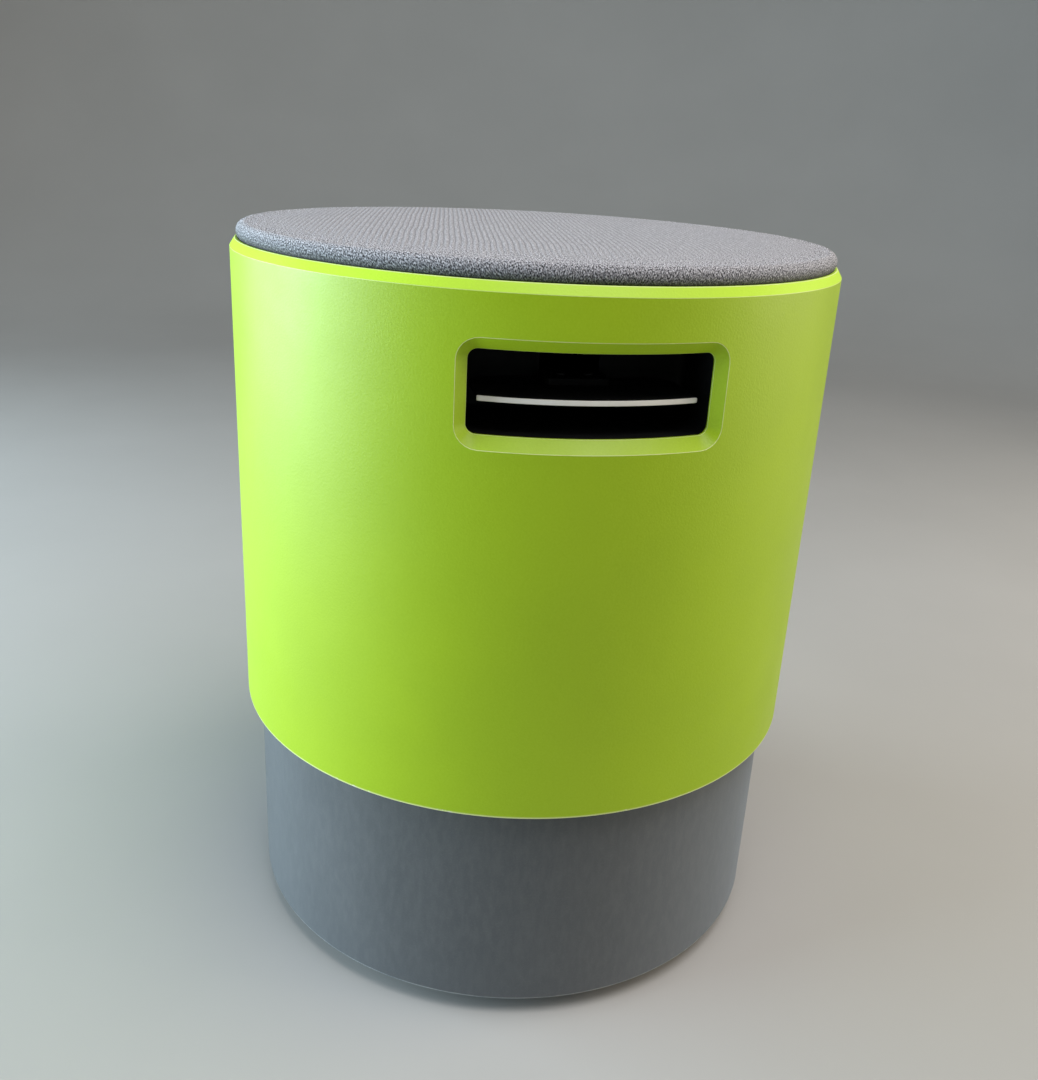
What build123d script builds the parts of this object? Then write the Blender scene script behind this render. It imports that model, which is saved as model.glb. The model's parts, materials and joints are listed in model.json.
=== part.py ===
"""Height-adjustable rocking stool: a shell drum with a seat pad slides over a weighted base drum.

Millimetres, +Z up, lever opening towards -Y. The origin is on the floor, on the stool's axis.
The stool is drawn with its gas lift part way up.
"""

from build123d import *
from math import acos, asin, degrees, sqrt
import os

# ---------------------------------------------------------------- driving dimensions

SHELL_R = 200.0  # outside of the seat shell
SHELL_WALL = 3.5
SHELL_LOW = 162.0  # lower edge of the seat shell
RIM_EDGE = 474.0  # where the rim's chamfer starts
RIM_TOP = 479.2
BASE_R = 190.5  # outside of the base drum
BASE_WALL = 3.5
BASE_LOW = 12.5  # lower edge of the base drum
BASE_TOP = 262.0

TRAVEL_DOWN = 44.0  # gas lift travel below and above the drawn height
TRAVEL_UP = 83.0

FOOT_FLAT_R = 55.0  # flat middle of the domed foot
FOOT_R = 182.0
FOOT_RISE = 11.5  # height of the dome's outer edge
FLOOR_LOW = 14.0  # base drum's floor
FLOOR_TOP = 18.0
BALLAST_T = 4.0
BALLAST_IN_R = 60.0
BALLAST_OUT_R = 165.0
BALLAST_SCREW_CIRCLE_R = 150.0
COLUMN_PLATE_T = 5.0
COLUMN_PLATE_R = 95.0
BOLT_CIRCLE_R = 80.0
BOLT_R = 4.0
HEX_R = 7.5  # corner radius of the bolt heads and nuts
HEAD_T = 5.0
HOLE_GAP = 0.3  # radial room round a bolt or screw in its hole
THREAD_GAP = 0.02  # radial gap of threads and pressed-in parts
STEEL_T = 3.0  # sheet steel of the seat mechanism

STAND_TUBE_R = 25.0  # gas lift's outer tube
STAND_TUBE_WALL = 1.5
STAND_TUBE_LOW = 24.0
STAND_TUBE_TOP = 240.0
SOCKET_R = 30.0  # welded socket that holds the tube
SOCKET_TOP = 72.0
PRESSURE_R = 14.0  # gas lift's inner tube
PRESSURE_WALL = 1.5
ROD_R = 5.0
STUB_R = 4.2  # lower end of the rod, through the end plate
RUNNING = 0.05  # radial clearance of parts that turn or slide in each other
PISTON_LOW = 192.0
PISTON_TOP = 204.0

BOARD_R = 190.0  # seat board
BOARD_LOW = 456.0
BOARD_TOP = 466.0
FLANGE_T = 4.0  # shell's inner flange under the board
FLANGE_R = 176.0
PAD_SIDE_R = 192.0  # outside of the seat cover where it wraps the board
PAD_R = 195.8  # widest, where the pad's rolled edge overhangs the shell's lip
PAD_EDGE_R = 6.0
PAD_EDGE_MIDDLE = 483.2
PAD_CROWN = 493.0
COVER_T = 1.5

OPENING_W = 135.0  # lever opening, inside its bezel
OPENING_H = 46.0
OPENING_MIDDLE = 420.9
OPENING_CORNER = 5.5
BEZEL = 6.8  # width and depth of the bezel's flare
BEZEL_INNER_R = 191.2

PADDLE_R = 187.0  # front arc of the paddle
PADDLE_HALF_W = 61.0
PADDLE_T = 3.0
PADDLE_LOW = 414.6
PADDLE_BACK = -128.0
PIVOT_Y = -30.0
PIVOT_Z = 424.0
PIVOT_R = 4.0
ARM_HALF_W = 14.0
ARM_T = 3.0
ARM_LOW = PADDLE_LOW + PADDLE_T - 0.2
PIN_TOP = ARM_LOW - 0.4
PIN_R = 4.0

# ---------------------------------------------------------------- derived heights

BALLAST_TOP = FLOOR_TOP + BALLAST_T
PLATE_TOP = BALLAST_TOP + COLUMN_PLATE_T
END_PLATE_LOW = STAND_TUBE_LOW + 3.0
END_PLATE_TOP = END_PLATE_LOW + 3.0
LOWER_RACE_TOP = END_PLATE_TOP + 1.5
BALL_R = 1.95
RACE_R = 20.0
BALL_MIDDLE = LOWER_RACE_TOP + BALL_R + RUNNING
UPPER_RACE_LOW = BALL_MIDDLE + BALL_R + RUNNING
UPPER_RACE_TOP = UPPER_RACE_LOW + 1.5
BUMPER_TOP = UPPER_RACE_TOP + 10.0
TUBE_LOW = BUMPER_TOP + 1.0 + TRAVEL_DOWN  # pressure tube stops on the bumper
SEAL_TOP = PISTON_LOW - 1.0 - TRAVEL_UP  # and on the piston
GLAND_TOP = SEAL_TOP - 4.0
HUB_LOW = 360.0
WEB_LOW = 402.0
WEB_TOP = WEB_LOW + STEEL_T
TUBE_TOP = 408.0
TUBE_TOP_R = 13.2  # end of the pressure tube's upper taper
MECH_PLATE_LOW = BOARD_LOW - STEEL_T
MECH_HALF_W = 22.0
STAND_BORE_R = STAND_TUBE_R - STAND_TUBE_WALL
PRESSURE_BORE_R = PRESSURE_R - PRESSURE_WALL
DOME_SPAN = FOOT_R - FOOT_FLAT_R
DOME_R = (DOME_SPAN**2 + FOOT_RISE**2) / (2 * FOOT_RISE)


# ---------------------------------------------------------------- helpers


def outline(*points):
    """A closed polygon in the XZ plane, from (radius, height) pairs."""
    with BuildSketch(Plane.XZ) as drawn:
        with BuildLine():
            Polyline(*points, close=True)
        make_face()
    return drawn.sketch


def band(inner, outer, low, high):
    """The section of a ring about the Z axis."""
    return outline((inner, low), (outer, low), (outer, high), (inner, high))


def across(height):
    """A horizontal plane at a height."""
    return Plane.XY.offset(height)


def dome_height(radius):
    """Height of the foot's dome above the floor."""
    return DOME_R - sqrt(DOME_R**2 - (radius - FOOT_FLAT_R) ** 2)


def taper_radius(height):
    """Radius of the pressure tube's upper taper."""
    share = (height - HUB_LOW) / (TUBE_TOP - HUB_LOW)
    return PRESSURE_R + share * (TUBE_TOP_R - PRESSURE_R)


# ---------------------------------------------------------------- base

TREAD_RADII = (100, 115, 130, 145, 160)
TREAD_W = 2.0
TREAD_DEPTH = 1.2
BOLT_HEAD_LOW = 2.4
BOLT_HEAD_TOP = BOLT_HEAD_LOW + HEAD_T
WASHER_TOP = BOLT_HEAD_TOP + 1.6
WASHER_R = 8.4
BOLT_RECESS_R = 9.0
NUT_TOP = PLATE_TOP + 6.5

with BuildPart() as rocker_foot:
    with BuildSketch(Plane.XZ):
        with BuildLine():
            Line((0, 0), (FOOT_FLAT_R, 0))
            ThreePointArc(
                (FOOT_FLAT_R, 0),
                (FOOT_FLAT_R + DOME_SPAN / 2, dome_height(FOOT_FLAT_R + DOME_SPAN / 2)),
                (FOOT_R, FOOT_RISE),
            )
            Polyline((FOOT_R, FOOT_RISE), (FOOT_R, FLOOR_LOW), (0, FLOOR_LOW), (0, 0))
        make_face()
    revolve(axis=Axis.Z)
    for radius in TREAD_RADII:
        groove = band(radius, radius + TREAD_W, 0, dome_height(radius) + TREAD_DEPTH)
        revolve(groove, axis=Axis.Z, mode=Mode.SUBTRACT)
    with BuildSketch(across(0)):
        with PolarLocations(BOLT_CIRCLE_R, 6):
            Circle(BOLT_RECESS_R)
    extrude(amount=WASHER_TOP, mode=Mode.SUBTRACT)
    with BuildSketch(across(WASHER_TOP)):
        with PolarLocations(BOLT_CIRCLE_R, 6):
            Circle(BOLT_R + HOLE_GAP)
    extrude(amount=FLOOR_LOW - WASHER_TOP, mode=Mode.SUBTRACT)

RIB_REACH = 19.0  # upright ribs inside the base drum
RIB_T = 2.5
RIB_H = 42.0
BALLAST_SCREW_R = 2.0
BALLAST_SCREW_LOW = FLOOR_LOW + 1.2

with BuildPart() as base_shell:
    revolve(
        outline(
            (0, FLOOR_LOW),
            (FOOT_R + 2.5, FLOOR_LOW),
            (FOOT_R + 3.5, BASE_LOW),
            (BASE_R, BASE_LOW),
            (BASE_R, BASE_TOP),
            (BASE_R - BASE_WALL, BASE_TOP),
            (BASE_R - BASE_WALL, FLOOR_TOP),
            (0, FLOOR_TOP),
        ),
        axis=Axis.Z,
    )
    rim_circles = edges().filter_by(GeomType.CIRCLE)
    lower_rim = rim_circles.filter_by(lambda e: abs(e.radius - BASE_R) < 0.1).sort_by(Axis.Z)[0]
    fillet(lower_rim, radius=3.0)
    upper_rim = edges().filter_by(GeomType.CIRCLE).sort_by(Axis.Z)[-2:]
    fillet(upper_rim, radius=1.0)
    with BuildSketch(across(FLOOR_TOP)):
        with PolarLocations(BASE_R - BASE_WALL - RIB_REACH / 2 + 1, 12, start_angle=15):
            Rectangle(RIB_REACH, RIB_T)
    extrude(amount=RIB_H)
    with BuildSketch(across(FLOOR_LOW)):
        with PolarLocations(BOLT_CIRCLE_R, 6):
            Circle(BOLT_R + HOLE_GAP)
    extrude(amount=FLOOR_TOP - FLOOR_LOW, mode=Mode.SUBTRACT)
    with BuildSketch(across(BALLAST_SCREW_LOW - 0.2)):
        with PolarLocations(BALLAST_SCREW_CIRCLE_R, 4, start_angle=45):
            Circle(BALLAST_SCREW_R + THREAD_GAP)
    extrude(amount=FLOOR_TOP - FLOOR_LOW, mode=Mode.SUBTRACT)

with BuildPart() as ballast_plate:
    revolve(band(BALLAST_IN_R, BALLAST_OUT_R, FLOOR_TOP, BALLAST_TOP), axis=Axis.Z)
    with BuildSketch(across(FLOOR_TOP)):
        with PolarLocations(BOLT_CIRCLE_R, 6):
            Circle(BOLT_R + HOLE_GAP)
        with PolarLocations(BALLAST_SCREW_CIRCLE_R, 4, start_angle=45):
            Circle(BALLAST_SCREW_R + HOLE_GAP)
    extrude(amount=BALLAST_T, mode=Mode.SUBTRACT)
    chamfer(edges().filter_by(GeomType.CIRCLE).filter_by(lambda e: e.radius > 100), length=1.0)

with BuildPart() as ballast_screws:
    with BuildSketch(across(BALLAST_TOP)):
        with PolarLocations(BALLAST_SCREW_CIRCLE_R, 4, start_angle=45):
            Circle(5)
    extrude(amount=3)
    fillet(edges().group_by(Axis.Z)[-1], radius=1.2)
    with BuildSketch(across(BALLAST_SCREW_LOW)):
        with PolarLocations(BALLAST_SCREW_CIRCLE_R, 4, start_angle=45):
            Circle(BALLAST_SCREW_R)
    extrude(amount=BALLAST_TOP - BALLAST_SCREW_LOW)

with BuildPart() as column_plate:
    revolve(band(SOCKET_R + 0.2, COLUMN_PLATE_R, BALLAST_TOP, PLATE_TOP), axis=Axis.Z)
    with BuildSketch(across(BALLAST_TOP)):
        with PolarLocations(BOLT_CIRCLE_R, 6):
            Circle(BOLT_R + HOLE_GAP)
    extrude(amount=COLUMN_PLATE_T, mode=Mode.SUBTRACT)

with BuildPart() as column_socket:
    revolve(
        outline(
            (STAND_TUBE_R - 0.9, FLOOR_TOP + 2),
            (SOCKET_R, FLOOR_TOP + 2),
            (SOCKET_R, PLATE_TOP),
            (SOCKET_R + 5, PLATE_TOP),
            (SOCKET_R, PLATE_TOP + 5),
            (SOCKET_R, SOCKET_TOP),
            (STAND_TUBE_R + 0.1, SOCKET_TOP),
        ),
        axis=Axis.Z,
    )

ROD_HOLE_GAP = 0.08
TAPER_BORE_R = 22.4  # bore through the tube's lower taper
BUSH_LOW = 200.0

with BuildPart() as outer_tube:
    revolve(
        outline(
            (STAND_TUBE_R - 1, STAND_TUBE_LOW),
            (STAND_TUBE_R, SOCKET_TOP),
            (STAND_TUBE_R, STAND_TUBE_TOP),
            (STAND_BORE_R, STAND_TUBE_TOP),
            (STAND_BORE_R, 60),
            (TAPER_BORE_R, END_PLATE_TOP),
            (STUB_R + ROD_HOLE_GAP, END_PLATE_TOP),
            (STUB_R + ROD_HOLE_GAP, END_PLATE_LOW),
            (TAPER_BORE_R, END_PLATE_LOW),
            (TAPER_BORE_R, STAND_TUBE_LOW),
        ),
        axis=Axis.Z,
    )

with BuildPart() as guide_bush:
    revolve(
        outline(
            (PRESSURE_R + RUNNING, BUSH_LOW),
            (STAND_BORE_R - THREAD_GAP, BUSH_LOW),
            (STAND_BORE_R - THREAD_GAP, STAND_TUBE_TOP),
            (STAND_TUBE_R - 0.3, STAND_TUBE_TOP),
            (STAND_TUBE_R - 0.8, STAND_TUBE_TOP + 2),
            (PRESSURE_R + RUNNING, STAND_TUBE_TOP + 2),
        ),
        axis=Axis.Z,
    )

with BuildPart() as lower_thrust_washer:
    revolve(band(STUB_R + HOLE_GAP, RACE_R, END_PLATE_TOP, LOWER_RACE_TOP), axis=Axis.Z)

with BuildPart() as base_bolts:
    with BuildSketch(across(BOLT_HEAD_LOW)):
        with PolarLocations(BOLT_CIRCLE_R, 6):
            RegularPolygon(radius=HEX_R, side_count=6)
    extrude(amount=BOLT_HEAD_TOP - BOLT_HEAD_LOW)
    with BuildSketch(across(BOLT_HEAD_TOP)):
        with PolarLocations(BOLT_CIRCLE_R, 6):
            Circle(BOLT_R)
    extrude(amount=NUT_TOP + 2 - BOLT_HEAD_TOP)
    chamfer(edges().group_by(Axis.Z)[-1], length=0.8)

with BuildPart() as base_washers:
    with BuildSketch(across(BOLT_HEAD_TOP)):
        with PolarLocations(BOLT_CIRCLE_R, 6):
            Circle(WASHER_R)
            Circle(BOLT_R + HOLE_GAP, mode=Mode.SUBTRACT)
    extrude(amount=WASHER_TOP - BOLT_HEAD_TOP)

with BuildPart() as base_nuts:
    with BuildSketch(across(PLATE_TOP)):
        with PolarLocations(BOLT_CIRCLE_R, 6):
            RegularPolygon(radius=HEX_R, side_count=6)
            Circle(BOLT_R + THREAD_GAP, mode=Mode.SUBTRACT)
    extrude(amount=NUT_TOP - PLATE_TOP)

# ---------------------------------------------------------------- swivel bearing and piston rod

CAGE_BALL_R = 14.0
BALL_COUNT = 12
CAGE_T = 2.4
CLIP_LOW = STAND_TUBE_LOW + 0.6
CLIP_GROOVE_R = 3.4

with BuildPart() as ball_cage:
    cage_low = BALL_MIDDLE - CAGE_T / 2
    revolve(band(CAGE_BALL_R - 4, CAGE_BALL_R + 4, cage_low, cage_low + CAGE_T), axis=Axis.Z)
    with BuildSketch(across(cage_low)):
        with PolarLocations(CAGE_BALL_R, BALL_COUNT):
            Circle(BALL_R + 0.1)
    extrude(amount=CAGE_T, mode=Mode.SUBTRACT)

with BuildPart() as bearing_balls:
    with Locations((0, 0, BALL_MIDDLE)):
        with PolarLocations(CAGE_BALL_R, BALL_COUNT):
            Sphere(BALL_R)

with BuildPart() as piston_rod:
    revolve(
        outline(
            (0, STAND_TUBE_LOW - 1),
            (STUB_R - 0.6, STAND_TUBE_LOW - 1),
            (STUB_R, STAND_TUBE_LOW - 0.4),
            (STUB_R, CLIP_LOW),
            (CLIP_GROOVE_R, CLIP_LOW),
            (CLIP_GROOVE_R, CLIP_LOW + 1),
            (STUB_R, CLIP_LOW + 1),
            (STUB_R, UPPER_RACE_TOP),
            (ROD_R, UPPER_RACE_TOP),
            (ROD_R, PISTON_TOP - 0.8),
            (ROD_R - 0.8, PISTON_TOP),
            (0, PISTON_TOP),
        ),
        axis=Axis.Z,
    )

with BuildPart() as upper_thrust_washer:
    revolve(band(STUB_R + THREAD_GAP, RACE_R, UPPER_RACE_LOW, UPPER_RACE_TOP), axis=Axis.Z)

with BuildPart() as rubber_bumper:
    revolve(band(ROD_R + 0.1, 12, UPPER_RACE_TOP, BUMPER_TOP), axis=Axis.Z)
    chamfer(edges().group_by(Axis.Z)[-1], length=1.5)

with BuildPart() as rod_washer:
    revolve(band(STUB_R + 0.1, 9, CLIP_LOW + 1.1, END_PLATE_LOW - 0.1), axis=Axis.Z)

with BuildPart() as rod_clip:
    with BuildSketch(across(CLIP_LOW + 0.02)):
        Circle(7)
        Circle(CLIP_GROOVE_R + 0.05, mode=Mode.SUBTRACT)
        with Locations((5, 0)):
            Rectangle(8, 4.5, mode=Mode.SUBTRACT)
    extrude(amount=0.96)

PISTON_R = PRESSURE_BORE_R - 0.08
GROOVE_R = 10.0  # seal groove in the piston
GROOVE_LOW = PISTON_LOW + 4.0
GROOVE_TOP = PISTON_LOW + 8.0

with BuildPart() as piston_head:
    revolve(
        outline(
            (ROD_R + THREAD_GAP, PISTON_LOW),
            (PISTON_R, PISTON_LOW),
            (PISTON_R, GROOVE_LOW),
            (GROOVE_R, GROOVE_LOW),
            (GROOVE_R, GROOVE_TOP),
            (PISTON_R, GROOVE_TOP),
            (PISTON_R, PISTON_TOP - 1),
            (ROD_R + THREAD_GAP, PISTON_TOP - 1),
        ),
        axis=Axis.Z,
    )

with BuildPart() as piston_seal:
    revolve(band(GROOVE_R + 0.03, PRESSURE_BORE_R - RUNNING, GROOVE_LOW, GROOVE_TOP), axis=Axis.Z)

# ---------------------------------------------------------------- gas lift's pressure tube and mechanism

VALVE_LOW = 350.0
PIN_LOW = 380.5
PIN_BORE_LOW = 376.0

with BuildPart() as pressure_tube:
    revolve(
        outline(
            (PRESSURE_BORE_R, TUBE_LOW),
            (PRESSURE_R, TUBE_LOW),
            (PRESSURE_R, HUB_LOW),
            (TUBE_TOP_R, TUBE_TOP),
            (PRESSURE_BORE_R, TUBE_TOP),
        ),
        axis=Axis.Z,
    )

with BuildPart() as end_gland:
    revolve(band(ROD_R + RUNNING, PRESSURE_BORE_R - THREAD_GAP, TUBE_LOW, GLAND_TOP), axis=Axis.Z)

with BuildPart() as rod_seal:
    revolve(band(ROD_R + RUNNING, PRESSURE_BORE_R - THREAD_GAP, GLAND_TOP, SEAL_TOP), axis=Axis.Z)

with BuildPart() as valve_body:
    revolve(band(0, PRESSURE_BORE_R - THREAD_GAP, VALVE_LOW, PIN_BORE_LOW), axis=Axis.Z)
    revolve(band(PIN_R + RUNNING, PRESSURE_BORE_R - THREAD_GAP, PIN_BORE_LOW, TUBE_TOP), axis=Axis.Z)

with BuildPart() as release_pin:
    with BuildSketch(across(PIN_LOW)):
        Circle(PIN_R)
    extrude(amount=PIN_TOP - PIN_LOW)
    fillet(edges().group_by(Axis.Z)[-1], radius=2.2)

TAPER_GAP = 0.01
HUB_R = 22.0

with BuildPart() as hub_cone:
    revolve(
        outline(
            (taper_radius(HUB_LOW) + TAPER_GAP, HUB_LOW),
            (HUB_R - 3, HUB_LOW),
            (HUB_R - 2, HUB_LOW + 1),
            (HUB_R, WEB_LOW - 6),
            (HUB_R, WEB_LOW),
            (taper_radius(WEB_LOW) + TAPER_GAP, WEB_LOW),
        ),
        axis=Axis.Z,
    )

CHANNEL_FRONT_Y = -48.0
CHANNEL_LENGTH = 84.0
CHANNEL_LIP_X = 42.0

with BuildPart() as mech_channel:
    with BuildSketch(Plane.XZ.offset(-CHANNEL_FRONT_Y)):
        with BuildLine():
            Polyline(
                (-MECH_HALF_W, WEB_LOW),
                (MECH_HALF_W, WEB_LOW),
                (MECH_HALF_W, MECH_PLATE_LOW - STEEL_T),
                (CHANNEL_LIP_X, MECH_PLATE_LOW - STEEL_T),
                (CHANNEL_LIP_X, MECH_PLATE_LOW),
                (MECH_HALF_W - STEEL_T, MECH_PLATE_LOW),
                (MECH_HALF_W - STEEL_T, WEB_TOP),
                (STEEL_T - MECH_HALF_W, WEB_TOP),
                (STEEL_T - MECH_HALF_W, MECH_PLATE_LOW),
                (-CHANNEL_LIP_X, MECH_PLATE_LOW),
                (-CHANNEL_LIP_X, MECH_PLATE_LOW - STEEL_T),
                (-MECH_HALF_W, MECH_PLATE_LOW - STEEL_T),
                close=True,
            )
        make_face()
    extrude(amount=-CHANNEL_LENGTH)
    with BuildSketch(across(WEB_LOW)):
        Circle(PRESSURE_R + 0.1)
    extrude(amount=WEB_TOP - WEB_LOW, mode=Mode.SUBTRACT)
    with BuildSketch(Plane.YZ):
        with Locations((PIVOT_Y, PIVOT_Z)):
            Circle(PIVOT_R + THREAD_GAP)
    extrude(amount=2 * MECH_HALF_W, both=True, mode=Mode.SUBTRACT)

PLATE_BOLT_GRID = (130.0, 110.0)

with BuildPart() as mech_plate:
    with BuildSketch(across(MECH_PLATE_LOW)):
        RectangleRounded(160, 140, 12)
        with GridLocations(*PLATE_BOLT_GRID, 2, 2):
            Circle(BOLT_R + HOLE_GAP, mode=Mode.SUBTRACT)
    extrude(amount=BOARD_LOW - MECH_PLATE_LOW)

PIVOT_PIN_END = 28.0
PIVOT_GROOVE_R = 3.2
PIVOT_GROOVES = (-25.5, 24.5)  # left sides of the grooves, each 1 mm wide

with BuildPart() as pivot_pin:
    with BuildSketch(Plane.YZ):
        with Locations((PIVOT_Y, PIVOT_Z)):
            Circle(PIVOT_R)
    extrude(amount=PIVOT_PIN_END, both=True)
    for groove_x in PIVOT_GROOVES:
        with BuildSketch(Plane.YZ.offset(groove_x)):
            with Locations((PIVOT_Y, PIVOT_Z)):
                Circle(PIVOT_R)
                Circle(PIVOT_GROOVE_R, mode=Mode.SUBTRACT)
        extrude(amount=1.0, mode=Mode.SUBTRACT)

with BuildPart() as pivot_clips:
    for groove_x in PIVOT_GROOVES:
        with BuildSketch(Plane.YZ.offset(groove_x + 0.02)):
            with Locations((PIVOT_Y, PIVOT_Z)):
                Circle(7)
                Circle(PIVOT_GROOVE_R + 0.05, mode=Mode.SUBTRACT)
            with Locations((PIVOT_Y, PIVOT_Z + 5)):
                Rectangle(4.4, 8, mode=Mode.SUBTRACT)
        extrude(amount=0.96)

with BuildPart() as plate_bolts:
    with BuildSketch(across(MECH_PLATE_LOW - HEAD_T)):
        with GridLocations(*PLATE_BOLT_GRID, 2, 2):
            RegularPolygon(radius=HEX_R, side_count=6)
    extrude(amount=HEAD_T)
    with BuildSketch(across(MECH_PLATE_LOW)):
        with GridLocations(*PLATE_BOLT_GRID, 2, 2):
            Circle(BOLT_R)
    extrude(amount=BOARD_TOP - 0.5 - MECH_PLATE_LOW)

TEE_FLANGE_R = 9.0
TEE_FLANGE_T = 1.5
TEE_BARREL_R = 5.0

with BuildPart() as tee_nuts:
    with BuildSketch(across(BOARD_TOP - TEE_FLANGE_T)):
        with GridLocations(*PLATE_BOLT_GRID, 2, 2):
            Circle(TEE_FLANGE_R)
            Circle(BOLT_R + THREAD_GAP, mode=Mode.SUBTRACT)
    extrude(amount=TEE_FLANGE_T)
    with BuildSketch(across(BOARD_LOW + 1)):
        with GridLocations(*PLATE_BOLT_GRID, 2, 2):
            Circle(TEE_BARREL_R)
            Circle(BOLT_R + THREAD_GAP, mode=Mode.SUBTRACT)
    extrude(amount=BOARD_TOP - TEE_FLANGE_T - BOARD_LOW - 1)

# ---------------------------------------------------------------- seat shell, board and pad

SHELL_SCREW_CIRCLE_R = 183.0
SCREW_R = 2.0  # wood screws of the shell and the pocket
SCREW_HOLE_R = SCREW_R + HOLE_GAP
SCREW_DEPTH = 8.0  # into the board
POCKET_SCREWS = ((50.0, -140.0), (-50.0, -140.0))
POCKET_LOW = 395.0
POCKET_TOP = 449.0
POCKET_HALF_W = 72.0
POCKET_BACK = -122.0
POCKET_WALL = 2.0
INNER_R = SHELL_R - SHELL_WALL
LIP_R = 194.6  # lip round the pad
LIP_LOW = 467.0
RIM_CHAMFER = 3.3
ARM_SLOT_W = 36.0  # slot for the lever's arm in the pocket's back
ARM_SLOT_H = 24.0
ARM_SLOT_MIDDLE = 423.0

# The bezel flares outwards at 45 degrees: its top and bottom are cones about the stool's axis, its
# ends are upright planes.
FLARE_R = SHELL_R - BEZEL
FLARE_END_X = OPENING_W / 2
FLARE_END_Y = -sqrt(FLARE_R**2 - FLARE_END_X**2)
FLARE_PAST = 1.3  # the ends run this many bezel widths out, past the shell's face
FLARE_OUT_X = FLARE_END_X + FLARE_PAST * BEZEL
FLARE_OUT_Y = FLARE_END_Y - FLARE_PAST * (sqrt(SHELL_R**2 - (FLARE_END_X + BEZEL) ** 2) + FLARE_END_Y)

with BuildPart() as bezel_flare:
    revolve(
        outline(
            (FLARE_R, OPENING_MIDDLE - OPENING_H / 2),
            (SHELL_R + 2, OPENING_MIDDLE - OPENING_H / 2 - BEZEL - 2),
            (SHELL_R + 2, OPENING_MIDDLE + OPENING_H / 2 + BEZEL + 2),
            (FLARE_R, OPENING_MIDDLE + OPENING_H / 2),
        ),
        axis=Axis.Z,
    )
    with BuildSketch(across(OPENING_MIDDLE - OPENING_H)):
        with BuildLine():
            Polyline(
                (-FLARE_END_X, FLARE_END_Y + 20),
                (-FLARE_END_X, FLARE_END_Y),
                (-FLARE_OUT_X, FLARE_OUT_Y),
                (-FLARE_OUT_X, -SHELL_R - 5),
                (FLARE_OUT_X, -SHELL_R - 5),
                (FLARE_OUT_X, FLARE_OUT_Y),
                (FLARE_END_X, FLARE_END_Y),
                (FLARE_END_X, FLARE_END_Y + 20),
                close=True,
            )
        make_face()
    extrude(amount=2 * OPENING_H, mode=Mode.INTERSECT)
    corners = edges().filter_by(lambda e: BEZEL < abs((e @ 0).Z - (e @ 1).Z) < 2 * BEZEL)
    fillet(corners, radius=OPENING_CORNER + 2)

BEZEL_BLOCK_W = OPENING_W + 2 * BEZEL + 7  # thick rim round the opening
BEZEL_BLOCK_H = OPENING_H + 2 * BEZEL + 5

with BuildPart() as outer_shell:
    revolve(
        outline(
            (INNER_R, SHELL_LOW),
            (SHELL_R, SHELL_LOW),
            (SHELL_R, RIM_EDGE),
            (SHELL_R - RIM_CHAMFER, RIM_TOP),
            (LIP_R, RIM_TOP),
            (LIP_R, LIP_LOW),
            (INNER_R, LIP_LOW - 4),
            (INNER_R, BOARD_LOW),
            (FLANGE_R, BOARD_LOW),
            (FLANGE_R, BOARD_LOW - FLANGE_T),
            (INNER_R, BOARD_LOW - FLANGE_T),
        ),
        axis=Axis.Z,
    )
    fillet(edges().group_by(Axis.Z)[0], radius=1.2)
    fillet(edges().group_by(Axis.Z)[-1], radius=0.7)
    with BuildSketch(Plane.XZ.offset(150)):
        with Locations((0, OPENING_MIDDLE)):
            RectangleRounded(BEZEL_BLOCK_W, BEZEL_BLOCK_H, OPENING_CORNER + BEZEL)
    bezel_block = extrude(amount=60, mode=Mode.PRIVATE)
    drum = Cylinder(SHELL_R - 1, 2 * OPENING_H, mode=Mode.PRIVATE)
    drum_core = Cylinder(BEZEL_INNER_R, 2 * OPENING_H, mode=Mode.PRIVATE)
    add(bezel_block & Pos(0, 0, OPENING_MIDDLE) * (drum - drum_core))
    with BuildSketch(Plane.XZ.offset(150)):
        with Locations((0, OPENING_MIDDLE)):
            RectangleRounded(OPENING_W, OPENING_H, OPENING_CORNER)
    extrude(amount=60, mode=Mode.SUBTRACT)
    add(bezel_flare.part, mode=Mode.SUBTRACT)
    with BuildSketch(across(BOARD_LOW - FLANGE_T)):
        with PolarLocations(SHELL_SCREW_CIRCLE_R, 6, start_angle=30):
            Circle(SCREW_HOLE_R)
    extrude(amount=FLANGE_T, mode=Mode.SUBTRACT)

with BuildPart() as handle_pocket:
    with BuildSketch(across(POCKET_LOW)):
        with Locations((0, (POCKET_BACK - SHELL_R) / 2)):
            Rectangle(2 * POCKET_HALF_W, SHELL_R + POCKET_BACK)
        Circle(BEZEL_INNER_R - 0.2, mode=Mode.INTERSECT)
    extrude(amount=POCKET_TOP - POCKET_LOW)
    with BuildSketch(across(POCKET_LOW + POCKET_WALL)):
        with Locations((0, (POCKET_BACK - POCKET_WALL - SHELL_R) / 2)):
            Rectangle(2 * (POCKET_HALF_W - POCKET_WALL), SHELL_R + POCKET_BACK - POCKET_WALL)
    extrude(amount=POCKET_TOP - POCKET_LOW - 2 * POCKET_WALL, mode=Mode.SUBTRACT)
    with BuildSketch(Plane.XZ.offset(-POCKET_BACK - 1)):
        with Locations((0, ARM_SLOT_MIDDLE)):
            RectangleRounded(ARM_SLOT_W, ARM_SLOT_H, 2)
    extrude(amount=POCKET_WALL + 2, mode=Mode.SUBTRACT)
    with BuildSketch(across(POCKET_TOP)):
        with Locations(*POCKET_SCREWS):
            Circle(6)
    extrude(amount=BOARD_LOW - POCKET_TOP)
    with BuildSketch(across(POCKET_TOP - POCKET_WALL)):
        with Locations(*POCKET_SCREWS):
            Circle(SCREW_HOLE_R)
    extrude(amount=BOARD_LOW - POCKET_TOP + POCKET_WALL, mode=Mode.SUBTRACT)

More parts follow.
